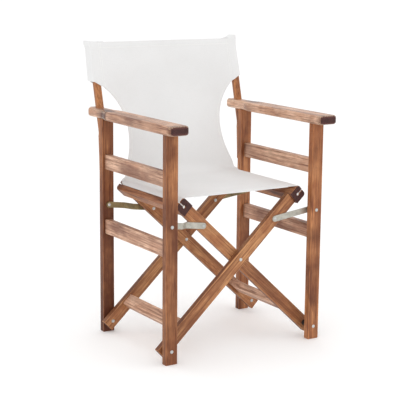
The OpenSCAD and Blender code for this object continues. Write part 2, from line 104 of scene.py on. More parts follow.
# %% Wires and finishes
class Wire:
    """One output socket, on which arithmetic makes Math nodes."""

    def __init__(self, finish, socket):
        self.finish, self.socket = finish, socket

    def math(self, operation, *values):
        return self.finish.node("Math", {"operation": operation}, *values)

    def __add__(self, other):
        return self.math("ADD", self, other)

    def __radd__(self, other):
        return self.math("ADD", other, self)

    def __sub__(self, other):
        return self.math("SUBTRACT", self, other)

    def __rsub__(self, other):
        return self.math("SUBTRACT", other, self)

    def __mul__(self, other):
        return self.math("MULTIPLY", self, other)

    def __rmul__(self, other):
        return self.math("MULTIPLY", other, self)

    def __pow__(self, other):
        return self.math("POWER", self, other)


class Finish:
    """One material; fixed values go straight on its shader's sockets."""

    def __init__(self, name, **fixed):
        self.material = bpy.data.materials.new(name)
        self.material.use_nodes = True
        self.tree = self.material.node_tree
        self.shader = self.tree.nodes["Principled BSDF"]
        for socket, value in fixed.items():
            self.shader.inputs[socket.replace("_", " ")].default_value = value

    def node(self, kind, settings=None, *values, out=0, **named):
        """Adds a node: its settings first, then values or wires by position or by socket name."""
        made = self.tree.nodes.new("ShaderNode" + kind)
        for key, value in (settings or {}).items():
            setattr(made, key, value)
        for place, value in enumerate(values):
            self.feed(made.inputs[place], value)
        for key, value in named.items():
            self.feed(made.inputs[key.replace("_", " ")], value)
        return Wire(self, made.outputs[out])

    def feed(self, socket, value):
        if isinstance(value, Wire):
            self.tree.links.new(value.socket, socket)
        elif value is not None:
            socket.default_value = value

    def drive(self, **wires):
        for socket, wire in wires.items():
            self.feed(self.shader.inputs[socket.replace("_", " ")], wire)

    def mix(self, share, first, second):
        """Blends two colours."""
        blend = self.node("Mix", {"data_type": "RGBA"}, out=2)
        made = blend.socket.node
        for place, value in ((0, share), (6, first), (7, second)):
            self.feed(made.inputs[place], (*value, 1.0) if isinstance(value, tuple) else value)
        return blend

    def mark(self, name, out=2):
        """What each vertex stores under a name: a number, or a vector with out=1."""
        return self.node("Attribute", {"attribute_name": name}, out=out)

    def parts(self, vector):
        """The three numbers of a vector or a colour."""
        split = self.node("SeparateXYZ", None, vector).socket.node
        return [Wire(self, socket) for socket in split.outputs]

    def fraction(self, wire):
        return self.node("Math", {"operation": "FRACT"}, wire)

    def step(self, wire, low, high):
        """A soft step from 0 at low to 1 at high."""
        return self.node("MapRange", {"interpolation_type": "SMOOTHSTEP"}, wire, low, high, 0.0, 1.0)

    def stretch(self, vector, *scale, offset=(0.0, 0.0, 0.0)):
        return self.node("Mapping", None, vector, offset, (0.0, 0.0, 0.0), scale)

    def noise(self, vector, scale, detail=2.0, roughness=0.5):
        return self.node("TexNoise", None, Vector=vector, Scale=scale, Detail=detail, Roughness=roughness)

    def bump(self, height, strength, distance, under=None):
        return self.node("Bump", None, Strength=strength, Distance=distance, Height=height, Normal=under)


def toned(colour, factor):
    return tuple(min(1.0, v * factor) for v in colour)


print("wires and finishes ready")

# %% [markdown]
# ## Stained wood
# The boards are sawn lengthways, so the growth rings show as long lines and arches on the faces and as
# arcs on the ends. One solid pattern does both: the rings are shells round a pith line beside the
# board. Each vertex carries its place in its own board as the attribute `grain`, so the pattern turns
# with the board however the board is turned. Dark streaks, pores and knots go on top, with paler rounded
# edges that are partly wear and partly painted highlight, and darker places that are partly stain and
# partly painted shade.

# %% Wood finishes
def stained_wood(name, pale, middle, dark, rough=0.46, patches=1.0, knots=1.0):
    """Long fibres, faint rings, cloudy dark patches, a few knots and small open pores."""
    wood = Finish(name, Coat_Weight=0.07, Coat_Roughness=0.32, Specular_IOR_Level=0.26)
    place, worn_and_lit, stain = wood.mark("grain", 1), wood.mark("edge_wear_and_highlight"), wood.mark("stain")
    across, through = wood.parts(place)[1:]

    def grained(along, over, detail, roughness=0.5, offset=(0.0, 0.0, 0.0)):
        """Noise with so many waves per metre along the board and over it."""
        return wood.noise(wood.stretch(place, along, over, over, offset=offset), 1.0, detail, roughness)

    spot = wood.node("TexVoronoi", None, Vector=wood.stretch(place, 4.5, 16.0, 16.0), Scale=1.0)
    chosen = wood.step(wood.parts(Wire(wood, spot.socket.node.outputs[1]))[0], 0.50, 0.52) * knots
    halo = chosen * (1.0 - wood.step(spot, 0.12, 0.46))
    knot = chosen * (1.0 - wood.step(spot, 0.07, 0.17))
    drift, wave = grained(3.0, 14.0, 3.0), grained(1.1, 5.0, 1.0)
    shell = ((across * across + through * through) ** 0.5) * 190.0 + drift * 2.6 + wave * 6.0 + halo * 2.2
    ring = wood.fraction(shell)
    late = wood.step(ring, 0.35, 0.90) * (1.0 - wood.step(ring, 0.93, 1.0))
    fibre = grained(8.0, 330.0, 4.0, 0.62)
    fine = grained(22.0, 900.0, 2.0)
    pore = wood.step(grained(70.0, 1700.0, 1.0), 0.60, 0.72)
    bands = wood.step(grained(2.0, 60.0, 3.0), 0.45, 0.62)
    streaks = wood.step(grained(7.0, 170.0, 2.0), 0.51, 0.63)
    veins = wood.step(grained(15.0, 330.0, 2.0, offset=(0.3, 2.1, 5.2)), 0.57, 0.64)
    cloud = grained(9.0, 16.0, 3.0)
    mottle = grained(38.0, 48.0, 2.0)
    burnt = wood.step(grained(4.0, 9.0, 4.0, offset=(3.1, 0.7, 0.2)), 0.52, 0.66)
    colour = wood.mix(wood.step(cloud + mottle * 0.5, 0.58, 0.92), pale, middle)
    colour = wood.mix(bands * 0.55 + streaks * 0.45, colour,
                      tuple(m * 0.4 + d * 0.6 for m, d in zip(middle, dark)))
    colour = wood.mix(late * 0.18 + wood.step(fibre, 0.40, 0.72) * 0.36 + veins * 0.45, colour, dark)
    colour = wood.mix(burnt * (0.66 * patches) + halo * 0.62, colour, dark)
    # The stain attribute is partly stain and partly painted shade: darker tips, narrow sides and the arm's
    # curve.
    colour = wood.mix(stain * (0.7 + mottle * 0.6), colour, toned(dark, 0.8))
    colour = wood.mix(pore * 0.42 + knot * 0.60, colour, toned(dark, 0.4))
    # Rounded edges are paler: partly wear and partly painted highlight.
    colour = wood.mix(worn_and_lit * wood.step(fine, 0.42, 0.60) * 0.42, colour, toned(pale, 1.35))
    rough = rough + late * 0.06 + pore * 0.12 - worn_and_lit * 0.05 + fine * 0.08
    relief = fibre * 0.7 + fine * 0.4 + late * 0.3 - pore * 0.9 - knot * 0.4
    wood.drive(Base_Color=colour, Roughness=rough, Normal=wood.bump(relief, 0.45, 0.0005))
    return wood.material


def end_grain(name, pale, dark):
    """Sawn ends drink more stain: dark, with ring arcs and open pores."""
    wood = Finish(name, Specular_IOR_Level=0.3)
    place, worn_and_lit = wood.mark("grain", 1), wood.mark("edge_wear_and_highlight")
    across, through = wood.parts(place)[1:]
    drift = wood.noise(place, 60.0, 2.0)
    ring = wood.fraction(((across * across + through * through) ** 0.5) * 210.0 + drift * 1.2)
    late = wood.step(ring, 0.45, 0.9)
    pore = wood.step(wood.noise(place, 900.0, 1.0), 0.55, 0.68)
    check = wood.step(wood.noise(wood.stretch(place, 1.0, 40.0, 260.0), 1.0, 2.0), 0.60, 0.72)
    blotch = wood.step(wood.noise(place, 110.0, 3.0), 0.42, 0.66)
    colour = wood.mix(late * 0.5 + blotch * 0.4, pale, dark)
    colour = wood.mix(pore * 0.55 + check * 0.3, colour, toned(dark, 0.4))
    # Rounded rims of the ends are paler: partly wear and partly painted highlight.
    colour = wood.mix(worn_and_lit * 0.30, colour, toned(pale, 2.2))
    wood.drive(Base_Color=colour, Roughness=0.58 + pore * 0.15,
               Normal=wood.bump(late - pore - check, 0.5, 0.0006))
    return wood.material


LEG_WOOD = stained_wood("leg_wood", (0.610, 0.262, 0.106), (0.430, 0.156, 0.058), (0.120, 0.032, 0.013),
                        rough=0.44)
POST_WOOD = stained_wood("post_wood", (0.560, 0.235, 0.090), (0.410, 0.152, 0.054), (0.130, 0.037, 0.015),
                         rough=0.44, patches=0.4)
CROSS_WOOD = stained_wood("cross_wood", (0.700, 0.350, 0.150), (0.490, 0.200, 0.080), (0.140, 0.042, 0.019),
                          patches=0.8)
SLAT_WOOD = stained_wood("slat_wood", (0.860, 0.555, 0.385), (0.660, 0.370, 0.240), (0.160, 0.056, 0.030),
                         rough=0.40, patches=1.1)
ARM_WOOD = stained_wood("arm_wood", (0.850, 0.545, 0.380), (0.630, 0.345, 0.215), (0.130, 0.046, 0.028),
                        rough=0.32, patches=1.1)
RAIL_WOOD = stained_wood("rail_wood", (0.680, 0.320, 0.145), (0.470, 0.186, 0.080), (0.095, 0.027, 0.014))
END_WOOD = end_grain("end_wood", (0.082, 0.028, 0.024), (0.028, 0.010, 0.010))
CUT_WOOD = end_grain("cut_wood", (0.170, 0.066, 0.038), (0.075, 0.027, 0.017))
print("eight wood finishes")

# %% [markdown]
# ## Canvas, zinc and plastic
# The canvas is a plain weave of thick cotton. Its threads follow the cloth, so the pattern reads the
# cloth's own UV map, which is in metres. The steel is bright zinc: grey with a faint spangle, fine
# scratches and duller patches. The spacers are black plastic.

# %% Cloth, metal and plastic finishes
THREADS = 3000.0


def canvas(name, own_uv=True):
    """Woven threads, uneven ones here and there, and broad soft creases."""
    cloth = Finish(name, Sheen_Weight=0.15, Sheen_Roughness=0.6, Specular_IOR_Level=0.2)
    place = cloth.node("UVMap", {"uv_map": "cloth"}) if own_uv else cloth.node("TexCoord", None, out=3)
    u, v = cloth.parts(place)[:2]
    wobble = cloth.noise(place, 90.0, 1.0) * 0.5
    slub = cloth.noise(cloth.stretch(place, 60.0, 900.0, 900.0), 1.0, 2.0)
    slub_up = cloth.noise(cloth.stretch(place, 900.0, 60.0, 900.0), 1.0, 2.0)
    warp, weft = (cloth.node("Math", {"operation": "SINE"}, way * THREADS + wobble) for way in (u, v))
    weave = warp * weft
    shade = cloth.step(cloth.noise(place, 7.0, 3.0), 0.3, 0.75)
    colour = cloth.mix(shade, (0.805, 0.805, 0.803), (0.775, 0.775, 0.772))
    colour = cloth.mix(cloth.step(slub + slub_up, 0.95, 1.35) * 0.35, colour, (0.715, 0.714, 0.704))
    crease = cloth.noise(cloth.stretch(place, 9.0, 2.5, 9.0), 1.0, 3.0)
    cloth.drive(Base_Color=colour, Roughness=0.86 + slub * 0.08,
                Normal=cloth.bump(weave * 0.5 + slub * 0.6 + slub_up * 0.6, 0.35, 0.00045,
                                  cloth.bump(crease, 0.25, 0.004)))
    return cloth.material


def zinc(name, pale, dull, rough, metal_share=0.75):
    """Zinc plating: spangle, cloudy patches, fine scratches and dull stains."""
    metal = Finish(name, Specular_IOR_Level=0.5)
    place = metal.node("TexCoord", None, out=3)
    spangle = metal.node("TexVoronoi", None, Vector=place, Scale=260.0, out=1)
    grey = metal.parts(spangle)[0]
    cloud = metal.noise(place, 45.0, 3.0)
    scratch = metal.step(metal.noise(metal.stretch(place, 90.0, 90.0, 1400.0), 1.0, 2.0), 0.58, 0.68)
    stain = metal.step(metal.noise(place, 30.0, 4.0), 0.54, 0.70)
    colour = metal.mix(grey * 0.25 + metal.step(cloud, 0.35, 0.65) * 0.45, pale, dull)
    colour = metal.mix(stain * 0.45, colour, toned(dull, 0.45))
    metal.drive(Base_Color=colour, Roughness=rough + cloud * 0.16 + stain * 0.12 - scratch * 0.06,
                Metallic=metal_share - stain * 0.25,
                Normal=metal.bump(grey * 0.25 + scratch * 0.5, 0.2, 0.0002))
    return metal.material


def moulded(name, base, rough):
    plastic = Finish(name, Specular_IOR_Level=0.45)
    place = plastic.node("TexCoord", None, out=3)
    grain = plastic.noise(place, 700.0, 2.0)
    colour = plastic.mix(plastic.noise(place, 30.0, 2.0), base, tuple(v * 1.3 + 0.01 for v in base))
    plastic.drive(Base_Color=colour, Roughness=rough + grain * 0.15, Normal=plastic.bump(grain, 0.2, 0.0002))
    return plastic.material


CANVAS = canvas("canvas")
HEM_CANVAS = canvas("hem_canvas", own_uv=False)
THREAD = moulded("sewing_thread", (0.78, 0.78, 0.76), 0.75)
BAR_ZINC = zinc("bar_zinc", (0.56, 0.54, 0.475), (0.36, 0.345, 0.30), 0.34)
# The rear bars get a darker, browner zinc than the front bars.
REAR_ZINC = zinc("rear_bar_zinc", (0.34, 0.26, 0.125), (0.20, 0.15, 0.075), 0.36, 0.6)
BOLT_ZINC = zinc("bolt_zinc", (0.66, 0.67, 0.66), (0.40, 0.41, 0.40), 0.24, 0.85)
BLACK = moulded("black_plastic", (0.012, 0.012, 0.013), 0.42)
WHITE_ROD = moulded("white_plastic", (0.70, 0.70, 0.68), 0.40)
DOWEL = stained_wood("dowel_wood", (0.58, 0.42, 0.26), (0.50, 0.35, 0.21), (0.36, 0.24, 0.14))
print("cloth, metal and plastic finishes")

# %% [markdown]
# ## Studio
# A big pale floor and a white surround, one large soft light high on the left in front, a weaker one on
# the right, and one above. Nothing in the room has an edge that could mirror in the zinc.

# %% Floor and lights
LIT_HEIGHT = 0.45
ground = bmesh.new()
bmesh.ops.create_grid(ground, x_segments=1, y_segments=1, size=30.0)
ground_mesh = bpy.data.meshes.new("studio_floor")
ground.to_mesh(ground_mesh)
ground.free()
floor = bpy.data.objects.new("studio_floor", ground_mesh)
bpy.context.scene.collection.objects.link(floor)
pale = Finish("studio_paint", Base_Color=(0.95, 0.95, 0.95, 1.0), Roughness=0.9,
              Emission_Color=(1.0, 1.0, 1.0, 1.0), Emission_Strength=0.10)
floor.data.materials.append(pale.material)

world = bpy.data.worlds.new("studio_air")
world.use_nodes = True
world.node_tree.nodes["Background"].inputs["Color"].default_value = (1.0, 1.0, 1.0, 1.0)
world.node_tree.nodes["Background"].inputs["Strength"].default_value = 1.0
bpy.context.scene.world = world


def soft_light(name, place, size, power):
    """A square lamp that faces the seat."""
    data = bpy.data.lights.new(name, "AREA")
    data.shape = "SQUARE"
    data.size, data.energy = size, power
    lamp = bpy.data.objects.new(name, data)
    aim = (Vector((0, 0, LIT_HEIGHT)) - Vector(place)).to_track_quat("-Z", "Y")
    lamp.matrix_world = Matrix.Translation(place) @ aim.to_matrix().to_4x4()
    bpy.context.scene.collection.objects.link(lamp)


soft_light("key", (-1.8, -2.6, 2.3), 1.8, 11)
soft_light("fill", (2.8, -1.8, 1.6), 2.4, 3)
soft_light("top", (0.0, 0.4, 3.0), 2.6, 5)
print("studio ready")

# %% [markdown]
# ## How the chair's lines run
# The pivots are read from the bolts. Everything on a crossed frame is built in a turned frame whose X
# runs up the crossed leg, so a straight board stays a straight board there.

# %% Pivots and turned frames
def middle(node):
    low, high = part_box(node)
    return (low + high) / 2


def size_of(node):
    low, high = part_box(node)
    return high - low


FOOT = middle("right_foot_bolts")
CENTRE = middle("centre_bolts")
MIDDLE_Y = (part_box("left_front_leg")[0].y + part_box("left_rear_leg")[1].y) / 2
SLOPE = math.atan2(CENTRE.z - FOOT.z, FOOT.x)
REARWARD = Vector((0, 1, 0))
OUTER, INNER = 1, -1
LEFT, RIGHT = -1, 1


def up_the_leg(side):
    """Direction that a crossed leg climbs in; the outer pair climbs to the right."""
    return Vector((side * math.cos(SLOPE), 0, math.sin(SLOPE)))


def square_to_leg(side):
    return Vector((-side * math.sin(SLOPE), 0, math.cos(SLOPE)))


def turned(origin, along, across):
    place = Matrix((along, across, along.cross(across))).transposed().to_4x4()
    place.translation = origin
    return place


print("crossed legs climb at", round(math.degrees(SLOPE), 2), "degrees")

# %% [markdown]
# ## Boards
# A board is a block whose outline may be shaped, whose corners may be rounded in plan, and whose edges
# are all eased with a small round, because sanded edges catch the light. The helper also writes the
# `grain` place, the mask of rounded edges, which pales them partly for wear and partly as painted
# highlight, and the `stain` depth, which holds stain and painted shade, and gives the sawn ends their own
# finish.

# %% Board helpers
dice = random.Random(7)


def block(size):
    bm = bmesh.new()
    bmesh.ops.create_cube(bm, size=1.0)
    bmesh.ops.scale(bm, vec=size, verts=bm.verts)
    return bm


def everything(bm):
    return bm.verts[:] + bm.edges[:] + bm.faces[:]


def cut_across(bm, axis, places):
    normal = Vector([1.0 if k == axis else 0.0 for k in range(3)])
    for place in places:
        bmesh.ops.bisect_plane(bm, geom=everything(bm), dist=1e-6, plane_co=normal * place, plane_no=normal)


def soften(bm, edges, radius, steps=3, clamp=True):
    made = bmesh.ops.bevel(bm, geom=edges, offset=radius, offset_type="OFFSET", affect="EDGES",
                           segments=steps, profile=0.5, material=-1, clamp_overlap=clamp)
    return set(made["faces"])


def sharp_edges(bm, angle=40.0):
    return [e for e in bm.edges if e.is_manifold and e.calc_face_angle(0.0) > math.radians(angle)]


def write_grain(bm, axis, rounded=(), stain=(0.0, 0.0), stain_and_shade=lambda place: 0.0):
    """Stores each vertex's place in its board, if it lies on a rounded edge, and how much darker it is painted,
    for stain and for painted shade.
    """
    grain = bm.verts.layers.float_vector.new("grain")
    wear_and_highlight = bm.verts.layers.float.new("edge_wear_and_highlight")
    tone = bm.verts.layers.float.new("stain")
    along = "xyz".index(axis)
    low, high = min(v.co[along] for v in bm.verts), max(v.co[along] for v in bm.verts)
    shift = Vector((dice.uniform(0, 40), dice.uniform(0.02, 0.07), dice.uniform(0.01, 0.05)))
    order = [along] + [k for k in range(3) if k != along]
    for v in bm.verts:
        v[grain] = Vector([v.co[k] for k in order]) + shift
        v[wear_and_highlight] = 1.0 if rounded and all(f in rounded for f in v.link_faces) else 0.0
        share = (v.co[along] - low) / (high - low)
        v[tone] = stain[0] + (stain[1] - stain[0]) * share + stain_and_shade(v.co)


BOARD_CREASE, CLOTH_CREASE = math.radians(44), math.radians(50)


def soften_light(bm, crease):
    """Marks edges sharper than an angle, so that light runs smoothly over the others."""
    for e in bm.edges:
        e.smooth = not (e.is_manifold and e.calc_face_angle(0.0) > crease)


def to_object(name, bm, place, finishes):
    """Turns a bmesh into an object whose place is in its mesh."""
    bmesh.ops.transform(bm, matrix=place, verts=bm.verts)
    soften_light(bm, BOARD_CREASE)
    for f in bm.faces:
        f.smooth = True
    mesh = bpy.data.meshes.new(name)
    bm.to_mesh(mesh)
    bm.free()
    for finish in finishes:
        mesh.materials.append(finish)
    thing = bpy.data.objects.new(name, mesh)
    bpy.context.scene.collection.objects.link(thing)
    return thing


def keep_flats(thing):
    """Large faces keep flat light although their rounded edges are smooth."""
    even = thing.modifiers.new("even_light", "WEIGHTED_NORMAL")
    even.keep_sharp = True
    return thing


def seat_piece(thing, body, slot, *nodes):
    """Lets a piece ride on its body in place of its solids."""
    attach(thing, body)
    if nodes:
        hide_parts(*nodes)
    return thing


# How much darker each board is painted at its lower or front end and at its upper or rear end
DARKENING_BY_END = {"left_front_leg": (0.56, 0.20), "left_rear_leg": (1.05, 0.25), "right_front_leg": (0.00, 0.06),
         "right_rear_leg": (0.12, 0.00), "left_back_post": (0.06, 0.12), "right_back_post": (0.00, 0.10),
         "front_outer_leg": (0.24, 0.10), "rear_outer_leg": (0.24, 0.22), "front_inner_leg": (0.38, 0.0),
         "rear_inner_leg": (0.10, 0.10)}

# Dark spots, each as its distance from the board's middle, its reach and its strength.
SPOTS = {"right_front_leg": ((-0.015, 0.045, 0.60), (-0.105, 0.055, 0.50)),
         "left_front_leg": ((0.02, 0.12, 0.22),),
         "right_rear_leg": ((-0.03, 0.05, 0.35),), "left_rear_leg": ((0.03, 0.06, 0.20),)}


def dark_spots(bm, along, spots):
    """Cuts a board where its spots begin, peak and end, and returns how dark each place is."""
    low, high = min(v.co[along] for v in bm.verts), max(v.co[along] for v in bm.verts)
    marks = sorted({m for centre, reach, depth in spots for m in (centre - reach, centre, centre + reach)})
    cut_across(bm, along, [m for m in marks if low + 0.004 < m < high - 0.004])
    return lambda place: sum(depth * max(0.0, 1.0 - abs(place[along] - centre) / reach)
                             for centre, reach, depth in spots)


EASED, SHADED_TIP_REACH = 0.0022, 0.014


def board(node, size, place, axis, finish, body, eased=EASED, shape=None, shaded_tips=0.0, shaded_sides=0.0):
    """A planed board. Its tips and its narrow sides can be painted darker than its face: painted shade where
    the tips meet other parts and on the narrow sides.
    """
    bm = block(size)
    if shape:
        shape(bm)
    along = "xyz".index(axis)
    spots = SPOTS.get(node, ())
    # Painted shade: the board darkens over a short reach at its tips, where it meets other parts.
    if shaded_tips:
        spots += ((-size[along] / 2, SHADED_TIP_REACH, shaded_tips), (size[along] / 2, SHADED_TIP_REACH, shaded_tips))
    stain_and_shade = dark_spots(bm, along, spots)
    rounded = soften(bm, sharp_edges(bm), eased)
    for f in bm.faces:
        if abs(f.normal[along]) > 0.93 and f not in rounded:
            f.material_index = 1
    write_grain(bm, axis, rounded, DARKENING_BY_END.get(node, (0.0, 0.0)), stain_and_shade)
    # Painted shade: the flat faces of the narrow sides are painted darker.
    tone = bm.verts.layers.float["stain"]
    for v in bm.verts:
        flats = [f for f in v.link_faces if f not in rounded]
        if flats and all(abs(f.normal.y) > 0.9 for f in flats):
            v[tone] += shaded_sides
    return seat_piece(keep_flats(to_object(node + "_wood", bm, place, (finish, CUT_WOOD))), body,
                      "stained_wood", node)


def standing(node):
    return Matrix.Translation(middle(node))


# %% [markdown]
# ## Upright side frames
# Each side frame has two legs and two slats. They are plain planed boards, so each is a block of its
# solid's own size with eased edges. The grain runs up the legs and along the slats.

# %% Legs and slats
SIDES = {"left": LEFT, "right": RIGHT}
for side in SIDES:
    body = side + "_frame"
    for part in ("front_leg", "rear_leg"):
        node = f"{side}_{part}"
        board(node, size_of(node), standing(node), "z", LEG_WOOD, body)
    for part in ("upper_slat", "lower_slat"):
        node = f"{side}_{part}"
        # The slats' tips get painted shade where they meet the legs.
        board(node, size_of(node), standing(node), "y", SLAT_WOOD, body, shaded_tips=0.55)
for part in ("left_front_leg", "left_upper_slat"):
    print(part, [round(v, 3) for v in size_of(part)])

# %% [markdown]
# ## Back posts
# A post lies flat behind the rear leg and then leans back. It was sawn to that line from a thicker
# board. The block is cut once at the bend, and everything above the bend is pushed back in proportion
# to its height, which keeps the front and the rear face parallel.

# %% Back posts
LEAN_ANGLE = math.radians(14.6)
LEAN = math.tan(LEAN_ANGLE)
POST_DEPTH = 0.016 / math.cos(LEAN_ANGLE)


def bend_height(node):
    """Height of the bend, from the solid's own depth."""
    low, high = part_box(node)
    return high.z - (high.y - low.y - POST_DEPTH) / LEAN


for side in SIDES:
    node = f"{side}_back_post"
    low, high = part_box(node)
    bend = bend_height(node)
    height = high.z - low.z

    def lean_back(bm, low=low, bend=bend, height=height):
        at_bend = bend - low.z - height / 2
        cut_across(bm, 2, [at_bend, at_bend + 0.02])
        for v in bm.verts:
            v.co.y += max(0.0, v.co.z - at_bend) * LEAN

    centre = Vector(((low.x + high.x) / 2, low.y + POST_DEPTH / 2, (low.z + high.z) / 2))
    board(node, (high.x - low.x, POST_DEPTH, height), Matrix.Translation(centre), "z", POST_WOOD,
          f"{side}_frame", eased=0.003, shape=lean_back)
print("posts bend at", round(bend, 3), "m")

# %% [markdown]
# ## Armrests
# The arm is a broad board with rounded corners. Behind the rear leg both its sides swing in to a
# narrow tongue with a slot that the post passes through. The block is cut across many times where the
# sides curve, its outer rows are moved in, and the slot is two opposite faces that are taken out and
# bridged. Sawn ends are nearly black, as they drink the stain.

# %% Armrests
CURVE_START, CURVE_END = 0.109, 0.157
TONGUE_IN, TONGUE_OUT = 0.0095, 0.0115
SLOT_GAP = 0.0004
ARM_CORNER, ARM_RIM = 0.0125, 0.0078
NOSE, CURVE_STAIN_AND_SHADE = 0.022, 0.034
SAME = 1e-5


def ease(t):
    t = min(1.0, max(0.0, t))
    return t * t * (3 - 2 * t)


def armrest(side):
    sign = SIDES[side]
    node = f"{side}_armrest"
    low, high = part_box(node)
    centre, size = (low + high) / 2, high - low
    post_low, post_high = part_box(f"{side}_back_post")
    bend = bend_height(f"{side}_back_post")
    bm = block(size)
    cuts = [CURVE_START + (CURVE_END - CURVE_START) * k / 14 - centre.y for k in range(15)]
    line_under = post_low.y + (low.z - bend) * LEAN
    line_over = post_low.y + (high.z - bend) * LEAN
    slot_y = [line_under - SLOT_GAP - centre.y, line_over + POST_DEPTH + SLOT_GAP - centre.y]
    slot_x = [post_low.x - SLOT_GAP - centre.x, post_high.x + SLOT_GAP - centre.x]

    def in_slot(place, room=SAME):
        return (slot_x[0] - room < place.x < slot_x[1] + room
                and slot_y[0] - room < place.y < slot_y[1] + room)

    cut_across(bm, 1, cuts + slot_y)
    cut_across(bm, 0, slot_x)
    for v in bm.verts:
        if abs(abs(v.co.x) - size.x / 2) < SAME:
            beside = TONGUE_OUT if v.co.x * sign > 0 else TONGUE_IN
            narrow = slot_x[1] + beside if v.co.x > 0 else slot_x[0] - beside
            v.co.x += (narrow - v.co.x) * ease((v.co.y + centre.y - CURVE_START) / (CURVE_END - CURVE_START))
    hole = [f for f in bm.faces if abs(f.normal.z) > 0.9 and in_slot(f.calc_center_median(), 0.0)]
    rims = {e for f in hole for e in f.edges}
    bmesh.ops.delete(bm, geom=hole, context="FACES_ONLY")
    bmesh.ops.bridge_loops(bm, edges=list(rims))
    walls = {e for e in bm.edges if all(in_slot(v.co) for v in e.verts)}
    for v in bm.verts:
        if in_slot(v.co):
            ahead, over = v.co.y < sum(slot_y) / 2, v.co.z > 0
            if ahead and over:
                v.co.y += size.z * LEAN
            if not ahead and not over:
                v.co.y -= size.z * LEAN

    def rise(e):
        return abs(e.verts[0].co.z - e.verts[1].co.z)

    upright = [e for e in bm.edges if e not in walls and rise(e) > 0.01
               and e.calc_face_angle(0.0) > math.radians(60)]
    soften(bm, upright, ARM_CORNER, 7, clamp=False)
    rim = [e for e in sharp_edges(bm) if rise(e) < 1e-6 and not all(in_slot(v.co, 1e-3) for v in e.verts)]
    rounded = soften(bm, rim, ARM_RIM, 6, clamp=False)
    for f in bm.faces:
        if abs(f.normal.y) > 0.78 and abs(f.calc_center_median().y) > size.y / 2 - 0.012:
            f.material_index = 1

    def stain_and_shade(place):
        """The front end drinks more stain; the sawn curve's outer side is darker, partly for its end grain and
        partly as painted shade.
        """
        curve = 1 - abs((place.y + centre.y) - (CURVE_START + CURVE_END) / 2) / CURVE_STAIN_AND_SHADE
        nose = 1 - (size.y / 2 + place.y) / NOSE
        outer = ease((place.x * sign + 0.002) / 0.008)
        return 1.6 * ease(curve * 1.8) * outer + 0.85 * ease(nose)

    cut_across(bm, 1, [NOSE - size.y / 2, NOSE + 0.012 - size.y / 2, CURVE_START - 0.008 - centre.y])
    write_grain(bm, "y", rounded, stain_and_shade=stain_and_shade)
    thing = keep_flats(to_object(node + "_wood", bm, Matrix.Translation(centre), (ARM_WOOD, END_WOOD)))
    return seat_piece(thing, f"{side}_frame", "arm_wood", node)


for side in SIDES:
    arm = armrest(side)
print("armrest faces", len(arm.data.polygons))

# %% [markdown]
# ## Crossed legs and stretchers
# Four slanted legs make two X shapes, one in front and one behind. Each is a straight board with square
# ends. The stretchers run from front to rear low down. The right one swells towards its rear end.

# %% Crossed legs
CROSSED = {"front_outer_leg": OUTER, "rear_outer_leg": OUTER,
           "front_inner_leg": INNER, "rear_inner_leg": INNER}
CROSS_BODY = {OUTER: "cross_a", INNER: "cross_b"}
CROSS_WIDTH = 0.038
for node, side in CROSSED.items():
    box = size_of(node)
    along, across = up_the_leg(side), square_to_leg(side)
    length = (box.x - CROSS_WIDTH * math.sin(SLOPE)) / math.cos(SLOPE)
    # The crossed legs' narrow sides get painted shade.
    board(node, (length, CROSS_WIDTH, box.y), turned(middle(node), along, across), "x", CROSS_WOOD,
          CROSS_BODY[side], shaded_sides=0.42)
print("crossed leg", round(length, 3), "m long")

# %% Stretchers
STRETCHER, FOOT_TO_STRETCHER = (0.037, 0.024), 0.061
FLARE, FLARE_LENGTH = 0.018, 0.062


def swell(bm, half):
    """Draws the upper edge out towards the rear in a hollow curve."""
    cut_across(bm, 1, [half - FLARE_LENGTH * k / 10 for k in range(1, 11)])
    for v in bm.verts:
        if v.co.x > 0:
            t = max(0.0, 1 - (half - v.co.y) / FLARE_LENGTH)
            v.co.x += FLARE * t * t


for node, side in (("left_stretcher", OUTER), ("right_stretcher", INNER)):
    low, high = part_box(node)
    half = (high.y - low.y) / 2
    along = up_the_leg(side)
    foot = Vector((-side * FOOT.x, MIDDLE_Y, FOOT.z))
    centre = foot + along * (FOOT_TO_STRETCHER + STRETCHER[0] / 2) + square_to_leg(side) * 0.003
    board(node, (STRETCHER[0], high.y - low.y, STRETCHER[1]), turned(centre, along, REARWARD), "y", SLAT_WOOD,
          CROSS_BODY[side], shape=(lambda bm, half=half: swell(bm, half)) if side == INNER else None)
print("stretchers", round(2 * half, 3), "m")

# %% [markdown]
# ## Seat rails
# The rails are square sticks with a keyhole slot that holds the canvas. The solids already have the
# right section, so each is a copy of its solid, merged, with its flats joined again and its ends eased.

# %% Seat rails
def merged_copy(node):
    bm = bmesh.new()
    bm.from_mesh(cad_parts[node].data)
    for layer in list(bm.loops.layers.uv.values()):
        bm.loops.layers.uv.remove(layer)
    bmesh.ops.remove_doubles(bm, verts=bm.verts, dist=1e-6)
    bmesh.ops.dissolve_limit(bm, angle_limit=math.radians(0.5), verts=bm.verts, edges=bm.edges)
    return bm


for side, cross in (("right", OUTER), ("left", INNER)):
    node = side + "_seat_rail"
    low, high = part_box(node)
    bm = merged_copy(node)
    ends = [e for e in sharp_edges(bm, 60.0)
            if all(min(abs(v.co.y - low.y), abs(v.co.y - high.y)) < SAME for v in e.verts)]
    rounded = soften(bm, ends, 0.0009, 2)
    place = turned(middle(node), up_the_leg(cross), REARWARD)
    bmesh.ops.transform(bm, matrix=place.inverted(), verts=bm.verts)
    for f in bm.faces:
        f.material_index = 1 if abs(f.normal.y) > 0.9 else 0
    write_grain(bm, "y", rounded)
    seat_piece(keep_flats(to_object(node + "_wood", bm, place, (RAIL_WOOD, END_WOOD))), CROSS_BODY[cross],
               "dark_wood", node)
print("rails", [round(v, 3) for v in high - low])

# %% [markdown]
# ## Link bars
# Each bar is a strip of steel with round ends. The left bars are joggled by one board's thickness,
# because they reach the crossed legs that lie further in. A flat block gets its ends rounded in plan,
# is cut across where it bends, and its inner rows are pushed over along a soft step.

# %% Link bars
BAR_WIDTH, BAR_THICK = 0.018, 0.0025
JOGGLE_START, JOGGLE = 0.36, 0.22


